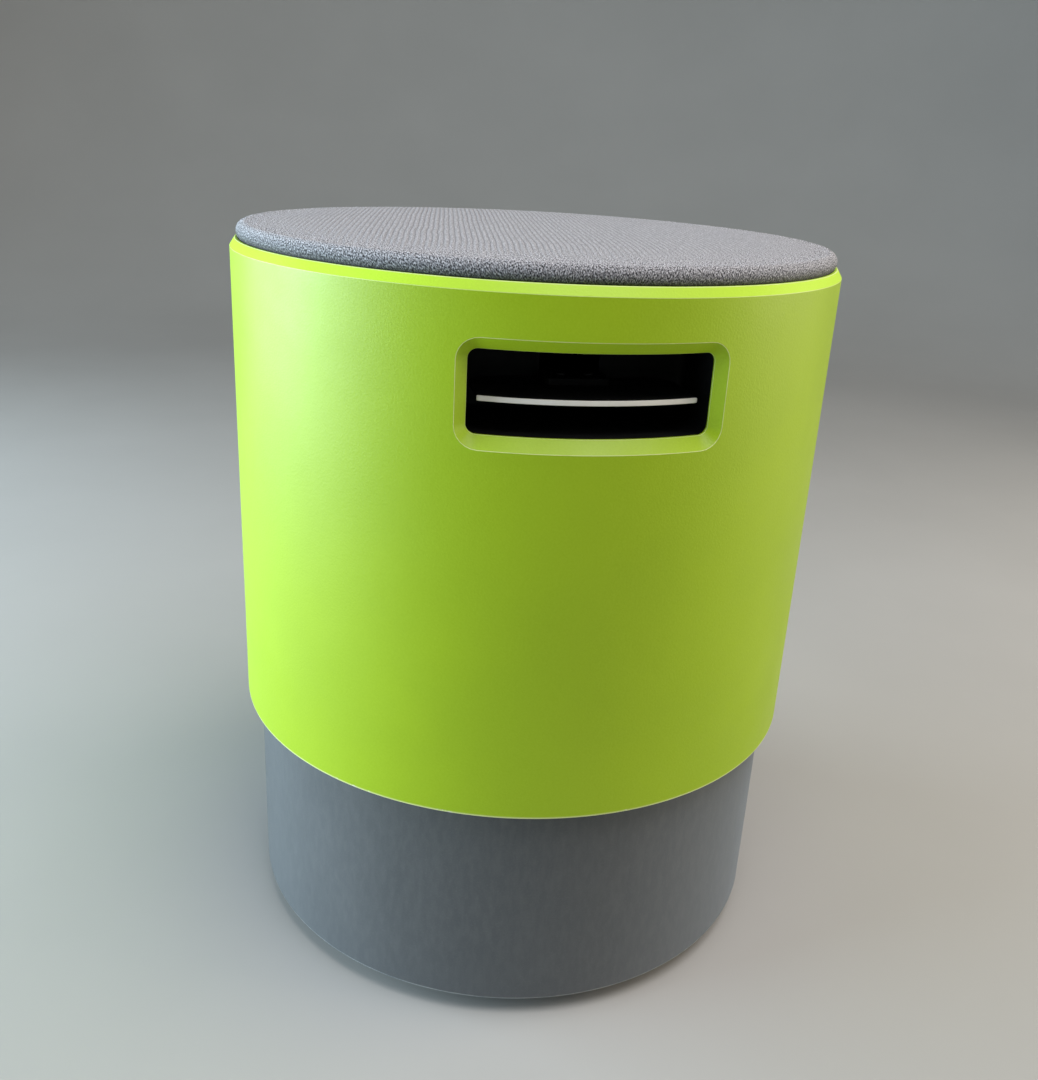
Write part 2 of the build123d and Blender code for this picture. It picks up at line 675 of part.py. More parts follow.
with BuildPart() as pocket_screws:
    with BuildSketch(across(POCKET_TOP - POCKET_WALL - 2.4)):
        with Locations(*POCKET_SCREWS):
            Circle(4.2)
    extrude(amount=2.4)
    fillet(edges().group_by(Axis.Z)[0], radius=1.0)
    with BuildSketch(across(POCKET_TOP - POCKET_WALL)):
        with Locations(*POCKET_SCREWS):
            Circle(SCREW_R)
    extrude(amount=BOARD_LOW + SCREW_DEPTH - POCKET_TOP + POCKET_WALL)

with BuildPart() as seat_board:
    with BuildSketch(across(BOARD_LOW)):
        Circle(BOARD_R)
    extrude(amount=BOARD_TOP - BOARD_LOW)
    chamfer(edges().filter_by(GeomType.CIRCLE), length=0.8)
    with BuildSketch(across(BOARD_LOW)):
        with GridLocations(*PLATE_BOLT_GRID, 2, 2):
            Circle(TEE_BARREL_R + RUNNING)
    extrude(amount=BOARD_TOP - BOARD_LOW, mode=Mode.SUBTRACT)
    with BuildSketch(across(BOARD_TOP - TEE_FLANGE_T)):
        with GridLocations(*PLATE_BOLT_GRID, 2, 2):
            Circle(TEE_FLANGE_R + 0.1)
    extrude(amount=TEE_FLANGE_T, mode=Mode.SUBTRACT)
    with BuildSketch(across(BOARD_LOW)):
        with PolarLocations(SHELL_SCREW_CIRCLE_R, 6, start_angle=30):
            Circle(SCREW_R + THREAD_GAP)
        with Locations(*POCKET_SCREWS):
            Circle(SCREW_R + THREAD_GAP)
    extrude(amount=SCREW_DEPTH + 0.4, mode=Mode.SUBTRACT)

with BuildPart() as shell_screws:
    with BuildSketch(across(BOARD_LOW - FLANGE_T - 3)):
        with PolarLocations(SHELL_SCREW_CIRCLE_R, 6, start_angle=30):
            Circle(4.5)
    extrude(amount=3)
    fillet(edges().group_by(Axis.Z)[0], radius=1.4)
    with BuildSketch(across(BOARD_LOW - FLANGE_T)):
        with PolarLocations(SHELL_SCREW_CIRCLE_R, 6, start_angle=30):
            Circle(SCREW_R)
    extrude(amount=FLANGE_T + SCREW_DEPTH)


# The crown is part of a sphere, tangent to the rolled edge.
PAD_EDGE_CENTRE_R = PAD_R - PAD_EDGE_R
PAD_RISE = PAD_CROWN - PAD_EDGE_MIDDLE
PAD_DOME_R = (PAD_EDGE_CENTRE_R**2 + PAD_RISE**2 - PAD_EDGE_R**2) / (2 * (PAD_RISE - PAD_EDGE_R))
PAD_DOME_MIDDLE = PAD_CROWN - PAD_DOME_R
PAD_TILT = degrees(asin(PAD_EDGE_CENTRE_R / (PAD_DOME_R - PAD_EDGE_R)))


def pad_section(inset):
    """Half section of the crowned pad, drawn in from the cover's outside by an inset."""
    side = PAD_SIDE_R - inset
    edge_r = PAD_EDGE_R - inset
    tuck = degrees(acos((side - PAD_EDGE_CENTRE_R) / edge_r))
    with BuildSketch(Plane.XZ) as drawn:
        with BuildLine():
            CenterArc((0, PAD_DOME_MIDDLE), PAD_DOME_R - inset, 90 - PAD_TILT, PAD_TILT)
            rolled = CenterArc((PAD_EDGE_CENTRE_R, PAD_EDGE_MIDDLE), edge_r, -tuck, tuck + 90 - PAD_TILT)
            Polyline(rolled @ 0, (side, BOARD_TOP), (0, BOARD_TOP), (0, PAD_CROWN - inset))
        make_face()
    return drawn.sketch


with BuildPart() as seat_foam:
    revolve(pad_section(COVER_T + 0.3), axis=Axis.Z)

with BuildPart() as seat_cover:
    revolve(pad_section(0), axis=Axis.Z)
    revolve(band(BOARD_R + 0.3, PAD_SIDE_R, BOARD_LOW + 2, BOARD_TOP), axis=Axis.Z)
    revolve(pad_section(COVER_T), axis=Axis.Z, mode=Mode.SUBTRACT)

HEM_R = 0.8  # wire round the cover's hem

with BuildPart() as hem_ring:
    with BuildSketch(Plane.XZ):
        with Locations((PAD_SIDE_R + HEM_R + 0.1, BOARD_LOW + 4)):
            Circle(HEM_R)
    revolve(axis=Axis.Z)

# ---------------------------------------------------------------- lever

STRIP = 1.2  # metal strip on the paddle's front
RIVETS = ((8.0, -138.0), (-8.0, -138.0))
RIVET_R = 1.57
RIVET_HOLE_R = 1.6
RIVET_HEAD_R = 3.0
BOSS_W = 38.0  # block on the paddle that takes the arm
BOSS_D = 22.0
BOSS_Y = -138.0
BOSS_H = 6.8
CHEEK_T = 3.0  # upright sides of the arm
CHEEK_IN = ARM_HALF_W - CHEEK_T
BUSH_R = 6.0


def front_arc(radius, half_width, back):
    """A plate outline whose front is an arc about the stool's axis."""
    with BuildSketch(across(PADDLE_LOW)) as drawn:
        with Locations((0, (back - SHELL_R) / 2)):
            Rectangle(2 * half_width, SHELL_R + back)
        Circle(radius, mode=Mode.INTERSECT)
    return drawn.sketch


with BuildPart() as lever_paddle:
    extrude(front_arc(PADDLE_R - STRIP, PADDLE_HALF_W, PADDLE_BACK), amount=PADDLE_T)
    fillet(edges().filter_by(Axis.Z).group_by(Axis.Y)[-1], radius=12)
    with BuildSketch(across(PADDLE_LOW)):
        with Locations((0, BOSS_Y)):
            RectangleRounded(BOSS_W, BOSS_D, 3)
    extrude(amount=BOSS_H)
    with BuildSketch(Plane.XZ.offset(120)):
        with Locations((0, ARM_LOW + ARM_T / 2)):
            Rectangle(2 * ARM_HALF_W + 0.1, ARM_T + 0.1)
    extrude(amount=26, mode=Mode.SUBTRACT)
    with BuildSketch(across(PADDLE_LOW)):
        with Locations(*RIVETS):
            Circle(RIVET_HOLE_R)
    extrude(amount=BOSS_H, mode=Mode.SUBTRACT)

with BuildPart() as paddle_edge:
    extrude(front_arc(PADDLE_R, PADDLE_HALF_W, -150), amount=PADDLE_T)
    with BuildSketch(across(PADDLE_LOW)):
        Circle(PADDLE_R - STRIP + 0.02)
    extrude(amount=PADDLE_T, mode=Mode.SUBTRACT)

ARM_FRONT_Y = -146.0
ARM_BACK_Y = 8.0

with BuildPart() as lever_arm:
    with BuildSketch(across(ARM_LOW)):
        with Locations((0, (ARM_FRONT_Y + ARM_BACK_Y) / 2)):
            Rectangle(2 * ARM_HALF_W, ARM_BACK_Y - ARM_FRONT_Y)
    extrude(amount=ARM_T)
    with BuildSketch(Plane.YZ.offset(-ARM_HALF_W)):
        with BuildLine():
            Polyline(
                (PIVOT_Y - 32, ARM_LOW + 1),
                (PIVOT_Y + 22, ARM_LOW + 1),
                (PIVOT_Y + 10, PIVOT_Z + 9),
                (PIVOT_Y - 10, PIVOT_Z + 9),
                close=True,
            )
        make_face()
    extrude(amount=CHEEK_T)
    mirror(about=Plane.YZ)
    with BuildSketch(Plane.YZ):
        with Locations((PIVOT_Y, PIVOT_Z)):
            Circle(BUSH_R + THREAD_GAP)
    extrude(amount=30, both=True, mode=Mode.SUBTRACT)
    with BuildSketch(across(ARM_LOW)):
        with Locations(*RIVETS):
            Circle(RIVET_HOLE_R)
    extrude(amount=ARM_T, mode=Mode.SUBTRACT)

with BuildPart() as pivot_bushes:
    with BuildSketch(Plane.YZ.offset(CHEEK_IN)):
        with Locations((PIVOT_Y, PIVOT_Z)):
            Circle(BUSH_R)
            Circle(PIVOT_R + RUNNING, mode=Mode.SUBTRACT)
    extrude(amount=CHEEK_T + 0.1)
    with BuildSketch(Plane.YZ.offset(ARM_HALF_W)):
        with Locations((PIVOT_Y, PIVOT_Z)):
            Circle(BUSH_R + 2)
            Circle(PIVOT_R + RUNNING, mode=Mode.SUBTRACT)
    extrude(amount=MECH_HALF_W - STEEL_T - ARM_HALF_W - 0.3)
    mirror(about=Plane.YZ)

with BuildPart() as paddle_rivets:
    with BuildSketch(across(PADDLE_LOW)):
        with Locations(*RIVETS):
            Circle(RIVET_R)
    extrude(amount=BOSS_H)
    with BuildSketch(across(PADDLE_LOW + BOSS_H)):
        with Locations(*RIVETS):
            Circle(RIVET_HEAD_R)
    extrude(amount=1.2)
    fillet(edges().group_by(Axis.Z)[-1], radius=0.8)
    with BuildSketch(across(PADDLE_LOW - 1.0)):
        with Locations(*RIVETS):
            Circle(RIVET_HEAD_R)
    extrude(amount=1.0)

# ---------------------------------------------------------------- export

pieces = {
    "rocker_foot": rocker_foot,
    "base_shell": base_shell,
    "ballast_plate": ballast_plate,
    "ballast_screws": ballast_screws,
    "column_plate": column_plate,
    "column_socket": column_socket,
    "outer_tube": outer_tube,
    "guide_bush": guide_bush,
    "lower_thrust_washer": lower_thrust_washer,
    "base_bolts": base_bolts,
    "base_washers": base_washers,
    "base_nuts": base_nuts,
    "ball_cage": ball_cage,
    "bearing_balls": bearing_balls,
    "piston_rod": piston_rod,
    "upper_thrust_washer": upper_thrust_washer,
    "rubber_bumper": rubber_bumper,
    "rod_washer": rod_washer,
    "rod_clip": rod_clip,
    "piston_head": piston_head,
    "piston_seal": piston_seal,
    "pressure_tube": pressure_tube,
    "end_gland": end_gland,
    "rod_seal": rod_seal,
    "valve_body": valve_body,
    "release_pin": release_pin,
    "hub_cone": hub_cone,
    "mech_channel": mech_channel,
    "mech_plate": mech_plate,
    "pivot_pin": pivot_pin,
    "pivot_clips": pivot_clips,
    "plate_bolts": plate_bolts,
    "tee_nuts": tee_nuts,
    "outer_shell": outer_shell,
    "handle_pocket": handle_pocket,
    "pocket_screws": pocket_screws,
    "seat_board": seat_board,
    "shell_screws": shell_screws,
    "seat_foam": seat_foam,
    "seat_cover": seat_cover,
    "hem_ring": hem_ring,
    "lever_paddle": lever_paddle,
    "paddle_edge": paddle_edge,
    "lever_arm": lever_arm,
    "pivot_bushes": pivot_bushes,
    "paddle_rivets": paddle_rivets,
}

os.makedirs("parts", exist_ok=True)
for name, piece in pieces.items():
    piece.part.label = name
    export_step(piece.part, f"parts/{name}.step")
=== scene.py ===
"""Looks of a height-adjustable rocking stool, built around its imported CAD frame. Metres, +Z up."""

import json
import math

import bmesh
import bpy
from mathutils import Matrix, Vector, noise
from mathutils.bvhtree import BVHTree


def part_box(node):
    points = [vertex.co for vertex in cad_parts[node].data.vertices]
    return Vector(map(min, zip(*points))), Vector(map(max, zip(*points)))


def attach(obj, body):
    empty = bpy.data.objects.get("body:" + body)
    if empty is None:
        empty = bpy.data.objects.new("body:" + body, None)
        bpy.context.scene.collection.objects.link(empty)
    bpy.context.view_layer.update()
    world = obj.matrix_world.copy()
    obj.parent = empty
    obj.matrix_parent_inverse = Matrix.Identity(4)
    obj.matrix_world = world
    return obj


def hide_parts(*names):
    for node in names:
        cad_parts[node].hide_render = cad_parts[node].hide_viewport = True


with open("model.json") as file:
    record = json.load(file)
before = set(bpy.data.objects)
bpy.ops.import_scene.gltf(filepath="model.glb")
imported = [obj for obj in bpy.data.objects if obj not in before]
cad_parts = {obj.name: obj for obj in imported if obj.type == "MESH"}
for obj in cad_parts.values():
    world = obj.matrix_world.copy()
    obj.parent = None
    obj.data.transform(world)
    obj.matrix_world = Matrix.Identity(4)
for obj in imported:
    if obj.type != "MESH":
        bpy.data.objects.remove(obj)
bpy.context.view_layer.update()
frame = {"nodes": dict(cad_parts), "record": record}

MM = 0.001

# ---------------------------------------------------------------- places, from the frame

shell_low, shell_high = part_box("outer_shell")
base_low, base_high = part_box("base_shell")
cover_low, cover_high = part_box("seat_cover")
board_low, board_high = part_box("seat_board")
pocket_low, pocket_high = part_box("handle_pocket")
paddle_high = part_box("lever_paddle")[1]
strip_low, strip_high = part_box("paddle_edge")
foot_low, foot_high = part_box("rocker_foot")

SHELL_R = (shell_high.y - shell_low.y) / 2
RIM_TOP = shell_high.z
RIM_EDGE = RIM_TOP - 5.2 * MM
PAD_R = (cover_high.y - cover_low.y) / 2
BASE_R = (base_high.y - base_low.y) / 2


# ---------------------------------------------------------------- camera

CAMERA_ROUND = math.radians(-10.75)  # from straight in front of the lever opening
CAMERA_DISTANCE = 737 * MM
CAMERA_ABOVE_RIM = 73 * MM
CAMERA_DOWN = math.radians(20.85)
CAMERA_TURN = math.radians(0.06)  # aims it a little to the left of the axis
CAMERA_ROLL = math.radians(3.15)
CAMERA_LENS = 35.26  # millimetres on a 36 mm sensor


def make_camera():
    data = bpy.data.cameras.new("camera")
    data.lens = CAMERA_LENS
    data.clip_start = 0.02
    camera = bpy.data.objects.new("camera", data)
    bpy.context.scene.collection.objects.link(camera)
    forward = Vector((0, math.cos(CAMERA_DOWN), -math.sin(CAMERA_DOWN)))
    level = Vector((1, 0, 0))
    raised = level.cross(forward)
    right = math.cos(CAMERA_ROLL) * level + math.sin(CAMERA_ROLL) * raised
    up = math.cos(CAMERA_ROLL) * raised - math.sin(CAMERA_ROLL) * level
    facing = Matrix((right, up, -forward)).transposed().to_4x4()
    place = Matrix.Translation((0, -CAMERA_DISTANCE, RIM_EDGE + CAMERA_ABOVE_RIM))
    aim = Matrix.Rotation(CAMERA_TURN, 4, "Z")
    camera.matrix_world = Matrix.Rotation(CAMERA_ROUND, 4, "Z") @ place @ aim @ facing
    bpy.context.scene.camera = camera


# ---------------------------------------------------------------- mesh helpers


def riding(name, mesh, body, material):
    """A smooth-shaded piece made of a mesh, riding on a body."""
    mesh.shade_smooth()
    mesh.materials.append(material)
    piece = bpy.data.objects.new(name, mesh)
    bpy.context.scene.collection.objects.link(piece)
    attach(piece, body)
    return piece


def new_piece(name, verts, faces, body, material, edge_wear_and_highlight=None, fabric=None):
    """A piece from vertices and faces, with outward normals. Its attributes guide its material."""
    mesh = bpy.data.meshes.new(name)
    mesh.from_pydata(verts, [], faces)
    if edge_wear_and_highlight:
        mesh.attributes.new("edge_wear_and_highlight", "FLOAT", "POINT").data.foreach_set("value", edge_wear_and_highlight)
    if fabric:
        mesh.attributes.new("fabric", "FLOAT_VECTOR", "POINT").data.foreach_set("vector", fabric)
    work = bmesh.new()
    work.from_mesh(mesh)
    bmesh.ops.remove_doubles(work, verts=work.verts, dist=1e-7)
    bmesh.ops.recalc_face_normals(work, faces=work.faces)
    work.to_mesh(mesh)
    work.free()
    return riding(name, mesh, body, material)


def weigh_normals(piece):
    """Keeps broad faces flat-shaded up to their rounded edges."""
    weighted = piece.modifiers.new("normals", "WEIGHTED_NORMAL")
    weighted.mode = "FACE_AREA"
    weighted.weight = 80
    weighted.keep_sharp = True


def rounded(points, radii, steps=4, closed=False):
    """A path of (x, y, bend) whose corners are rounded to the given radii. Bend is 1 amid a corner."""
    points = [Vector((*p, 0)) for p in points]
    path = []
    count = len(points)
    for i, (corner, radius) in enumerate(zip(points, radii)):
        if radius == 0 or (not closed and i in (0, count - 1)):
            path.append(corner)
            continue
        before = (points[i - 1] - corner).normalized()
        after = (points[(i + 1) % count] - corner).normalized()
        half = before.angle(after) / 2
        reach = radius / math.tan(half)
        centre = corner + (before + after).normalized() * (radius / math.sin(half))
        start, end = corner + before * reach - centre, corner + after * reach - centre
        sweep = start.angle(end)
        for k in range(steps + 1):
            u = k / steps
            swung = (math.sin((1 - u) * sweep) * start + math.sin(u * sweep) * end) / math.sin(sweep)
            path.append(centre + swung + Vector((0, 0, math.sin(math.pi * u))))
    return path


def split(first, last, cells):
    """Evenly spaced values from first to last."""
    return [first + (last - first) * i / cells for i in range(cells + 1)]


def turned(section, columns):
    """Vertices, faces and bends of a closed section turned about the axis. It is (radius, height, bend)."""
    rows = len(section)
    verts, bends = [], []
    for r, z, bend in section:
        for j in range(columns):
            angle = math.tau * j / columns
            verts.append((r * math.sin(angle), -r * math.cos(angle), z))
            bends.append(bend)
    faces = []
    for i in range(rows):
        for j in range(columns):
            k = (j + 1) % columns
            low, high = i * columns, (i + 1) % rows * columns
            faces.append((low + j, low + k, high + k, high + j))
    return verts, faces, bends


def ring_outline(half_w, half_h, corner, cells_w, cells_h, corner_cells=3):
    """A rounded rectangle as points that start at the middle of its lower left corner."""
    points = []
    for side in range(4):
        cells = cells_w if side % 2 == 0 else cells_h
        start = math.radians(225 + 90 * side)
        signs = [(-1, -1), (1, -1), (1, 1), (-1, 1)]
        here = Vector(signs[side])
        there = Vector(signs[(side + 1) % 4])
        inner = Vector((half_w - corner, half_h - corner))
        here, there = here * inner, there * inner
        for k in range(corner_cells):
            angle = start + math.radians(45) * k / corner_cells
            points.append(here + corner * Vector((math.cos(angle), math.sin(angle))))
        out = corner * Vector((math.cos(start + math.pi / 4), math.sin(start + math.pi / 4)))
        straight = cells - 2 * corner_cells
        for k in range(straight):
            points.append(here.lerp(there, k / straight) + out)
        for k in range(corner_cells):
            angle = start + math.radians(45 + 45 * k / corner_cells)
            points.append(there + corner * Vector((math.cos(angle), math.sin(angle))))
    return points


def bridge(first, second):
    """Faces between two loops of vertex indices."""
    count = len(first)
    return [(first[i], first[(i + 1) % count], second[(i + 1) % count], second[i]) for i in range(count)]


# ---------------------------------------------------------------- materials


class Surface:
    """A principled material, with short forms of the nodes that the materials share."""

    def __init__(self, name, constants):
        self.material = bpy.data.materials.new(name)
        self.material.use_nodes = True
        self.tree = self.material.node_tree
        self.shader = self.tree.nodes["Principled BSDF"]
        for socket, value in constants.items():
            self.shader.inputs[socket].default_value = value
        self.place = self.tree.nodes.new("ShaderNodeTexCoord").outputs["Object"]

    def node(self, kind, inputs, **settings):
        made = self.tree.nodes.new("ShaderNode" + kind)
        for key, value in settings.items():
            setattr(made, key, value)
        for key, value in inputs.items():
            if isinstance(value, bpy.types.NodeSocket):
                self.tree.links.new(value, made.inputs[key])
            else:
                made.inputs[key].default_value = value
        return made

    def stretch(self, scale):
        """Object coordinates, scaled along each axis."""
        return self.node("Mapping", {"Vector": self.place, "Scale": scale}).outputs[0]

    def noise(self, scale, detail=2.0, rough=0.5, place=None):
        inputs = {"Vector": place or self.place, "Scale": scale, "Detail": detail, "Roughness": rough}
        return self.node("TexNoise", inputs).outputs["Fac"]

    def cells(self, scale, place=None):
        return self.node("TexVoronoi", {"Vector": place or self.place, "Scale": scale}).outputs["Distance"]

    def spread(self, value, low, high, to_low=0.0, to_high=1.0):
        """A value's range low..high mapped to another, and held there."""
        inputs = {"Value": value, "From Min": low, "From Max": high, "To Min": to_low, "To Max": to_high}
        return self.node("MapRange", inputs).outputs[0]

    def maths(self, operation, first, second=0.0):
        return self.node("Math", {0: first, 1: second}, operation=operation).outputs[0]

    def mix(self, share, first, second, blend="MIX"):
        inputs = {"Factor": share, 6: first, 7: second}
        return self.node("Mix", inputs, data_type="RGBA", blend_type=blend).outputs[2]

    def height(self):
        return self.node("SeparateXYZ", {0: self.place}).outputs["Z"]

    def bump(self, height, distance, normal=None):
        inputs = {"Height": height, "Distance": distance, "Strength": 1.0}
        if normal:
            inputs["Normal"] = normal
        return self.node("Bump", inputs).outputs[0]

    def feed(self, **sockets):
        names = {"color": "Base Color", "roughness": "Roughness", "normal": "Normal"}
        for key, value in sockets.items():
            self.tree.links.new(value, self.shader.inputs[names[key]])
        return self.material


def rgb(red, green, blue):
    """A linear colour from 8-bit screen values."""
    def linear(c):
        c /= 255
        return c / 12.92 if c <= 0.04045 else ((c + 0.055) / 1.055) ** 2.4
    return (linear(red), linear(green), linear(blue), 1.0)


def green_plastic():
    s = Surface("green_plastic", {"IOR": 1.48, "Specular IOR Level": 0.5})
    cloud = s.noise(9, 3)
    grain = s.noise(800, 2, 0.6)
    pebbles = s.cells(760)
    color = s.mix(s.spread(cloud, 0.35, 0.65), rgb(156, 188, 0), rgb(162, 194, 0))
    color = s.mix(s.spread(grain, 0.3, 0.7, 0.0, 0.12), color, rgb(196, 222, 60))
    height = s.height()
    # painted highlight: the rim above its edge, chamfer and all, is painted a paler lime
    rim = s.spread(height, RIM_EDGE - 0.3 * MM, RIM_EDGE + 0.3 * MM)
    color = s.mix(s.maths("MULTIPLY", rim, 0.65), color, rgb(208, 252, 66))
    # painted highlight: a pale cream line along the lower edge; the same band also carries the nicks
    low_edge_highlight_and_nicks = s.spread(height, shell_low.z + 1.9 * MM, shell_low.z + 1.1 * MM)
    color = s.mix(s.maths("MULTIPLY", low_edge_highlight_and_nicks, 0.6), color, rgb(240, 248, 170))
    # painted highlight, with some wear: the rounded edges of the rim, the opening's bezel and the lower
    # edge are painted pale cream
    edge_wear_and_highlight = s.node("Attribute", {}, attribute_name="edge_wear_and_highlight").outputs["Fac"]
    edge = s.maths("MULTIPLY", edge_wear_and_highlight, s.spread(s.noise(60, 4, 0.6), 0.3, 0.6, 0.7, 1.0))
    color = s.mix(s.maths("MULTIPLY", edge, 0.75), color, rgb(252, 254, 206))
    nicks = s.maths("MULTIPLY", low_edge_highlight_and_nicks, s.spread(s.noise(170, 4, 0.7), 0.60, 0.66))
    color = s.mix(s.maths("MULTIPLY", nicks, 0.8), color, rgb(250, 250, 235))
    rough = s.spread(s.noise(22, 4), 0.3, 0.7, 0.44, 0.52)
    relief = s.maths("ADD", s.maths("MULTIPLY", grain, 0.8), s.maths("MULTIPLY", pebbles, 0.5))
    normal = s.bump(relief, 0.075 * MM, s.bump(nicks, -0.15 * MM))
    return s.feed(color=color, roughness=rough, normal=normal)


def grey_plastic():
    s = Surface("grey_plastic", {
        "IOR": 1.6,
        "Specular IOR Level": 0.6,
        "Sheen Weight": 0.35,
        "Sheen Roughness": 0.65,
        "Sheen Tint": (0.76, 0.89, 1.0, 1.0),
    })
    cloud = s.noise(26, 5, 0.65, s.stretch((1, 1, 0.6)))
    mottle = s.noise(250, 3, 0.5, s.stretch((1, 1, 0.35)))
    fine = s.noise(900, 2, 0.6)
    color = s.mix(s.spread(cloud, 0.35, 0.65), rgb(30, 27, 24), rgb(42, 39, 36))
    color = s.mix(s.spread(mottle, 0.4, 0.7, 0.0, 0.24), color, rgb(80, 78, 75))
    color = s.mix(s.spread(fine, 0.5, 0.8, 0.0, 0.15), color, rgb(104, 102, 99))
    # pale edges, partly wear and partly painted highlight, along the base's rounded corners
    edge_wear_and_highlight = s.node("Attribute", {}, attribute_name="edge_wear_and_highlight").outputs["Fac"]
    edge = s.maths("MULTIPLY", edge_wear_and_highlight, s.spread(s.noise(50, 4, 0.6), 0.35, 0.6, 0.15, 0.6))
    color = s.mix(edge, color, rgb(205, 203, 196))
    rough = s.spread(cloud, 0.3, 0.7, 0.54, 0.64)
    relief = s.maths("ADD", fine, s.maths("MULTIPLY", mottle, 0.5))
    return s.feed(color=color, roughness=rough, normal=s.bump(relief, 0.05 * MM))


def black_plastic():
    s = Surface("black_plastic", {"IOR": 1.46, "Specular IOR Level": 0.3})
    color = s.mix(s.spread(s.noise(40, 4), 0.3, 0.7), rgb(9, 9, 10), rgb(15, 15, 16))
    rough = s.spread(s.noise(150, 4), 0.3, 0.7, 0.48, 0.62)
    return s.feed(color=color, roughness=rough, normal=s.bump(s.noise(1300, 1.5, 0.6), 0.03 * MM))


def rubber():
    s = Surface("rubber", {"IOR": 1.5, "Specular IOR Level": 0.4})
    dust = s.spread(s.noise(70, 6, 0.7), 0.5, 0.75)
    color = s.mix(s.maths("MULTIPLY", dust, 0.25), rgb(24, 24, 24), rgb(74, 70, 64))
    rough = s.spread(s.noise(200, 3), 0.3, 0.7, 0.72, 0.88)
    return s.feed(color=color, roughness=rough, normal=s.bump(s.noise(800, 2), 0.05 * MM))


def metal(name, dark, light, rough, lines=(1, 1, 1)):
    s = Surface(name, {"Metallic": 1.0})
    color = s.mix(s.spread(s.noise(55, 5, 0.65), 0.3, 0.7), dark, light)
    drawn = s.noise(1600, 2, 0.6, s.stretch(lines))
    roughness = s.spread(drawn, 0.3, 0.7, rough, rough + 0.12)
    return s.feed(color=color, roughness=roughness, normal=s.bump(drawn, 0.01 * MM))


def black_paint():
    s = Surface("black_paint", {"IOR": 1.5, "Specular IOR Level": 0.5})
    color = s.mix(s.spread(s.noise(45, 5), 0.3, 0.7), rgb(20, 20, 21), rgb(32, 32, 33))
    rough = s.spread(s.noise(240, 3), 0.3, 0.7, 0.34, 0.50)
    return s.feed(color=color, roughness=rough, normal=s.bump(s.noise(700, 3), 0.04 * MM))


def nylon():
    s = Surface("nylon", {"IOR": 1.5, "Specular IOR Level": 0.5})
    color = s.mix(s.spread(s.noise(80, 4), 0.3, 0.7), rgb(206, 202, 188), rgb(220, 217, 206))
    rough = s.spread(s.noise(300, 3), 0.3, 0.7, 0.38, 0.5)
    return s.feed(color=color, roughness=rough, normal=s.bump(s.noise(900, 2), 0.02 * MM))


def plywood():
    s = Surface("plywood", {"IOR": 1.45})
    plies = s.noise(6, 1, 0.5, s.stretch((1, 1, 160)))
    grain = s.noise(90, 5, 0.7, s.stretch((0.08, 1, 1)))
    color = s.mix(s.spread(grain, 0.3, 0.7), rgb(170, 132, 88), rgb(204, 168, 120))
    color = s.mix(s.spread(plies, 0.45, 0.55, 0.0, 0.4), color, rgb(120, 86, 54))
    rough = s.spread(grain, 0.3, 0.7, 0.62, 0.78)
    return s.feed(color=color, roughness=rough, normal=s.bump(grain, 0.05 * MM))


def strip_metal():
    """The pale satin strip along the paddle's front edge."""
    s = Surface("strip_metal", {"Metallic": 0.2, "Anisotropic": 0.4})
    color = s.mix(s.spread(s.noise(40, 4, 0.6), 0.3, 0.7), rgb(240, 235, 228), rgb(252, 248, 242))
    drawn = s.noise(1500, 2, 0.6, s.stretch((0.04, 1, 1)))
    rough = s.spread(drawn, 0.3, 0.7, 0.38, 0.5)
    return s.feed(color=color, roughness=rough, normal=s.bump(drawn, 0.02 * MM))


def foam_rubber():
    s = Surface("foam_rubber", {"IOR": 1.4, "Specular IOR Level": 0.2})
    holes = s.cells(900)
    color = s.mix(s.spread(holes, 0.0, 0.6), rgb(176, 166, 138), rgb(222, 214, 190))
    rough = s.spread(s.noise(300, 3), 0.3, 0.7, 0.85, 0.98)
    return s.feed(color=color, roughness=rough, normal=s.bump(holes, 0.2 * MM))


RIB_PITCH = 3.2 * MM
# Runs of cloth from the middle of the pad
RIBBED_TO, PEBBLED_FROM = 140 * MM, 186 * MM
RAGGED = 7 * MM  # how far the change from ribs to pebbles wanders
PAINTED_SHADE_FROM, PAINTED_SHADE_TO = 190 * MM, 203 * MM  # painted shade: the cloth is painted darker down its rolled edge, where it turns under
TIPS_TO = 198 * MM  # painted highlight: pebbles get pale painted tips up to here
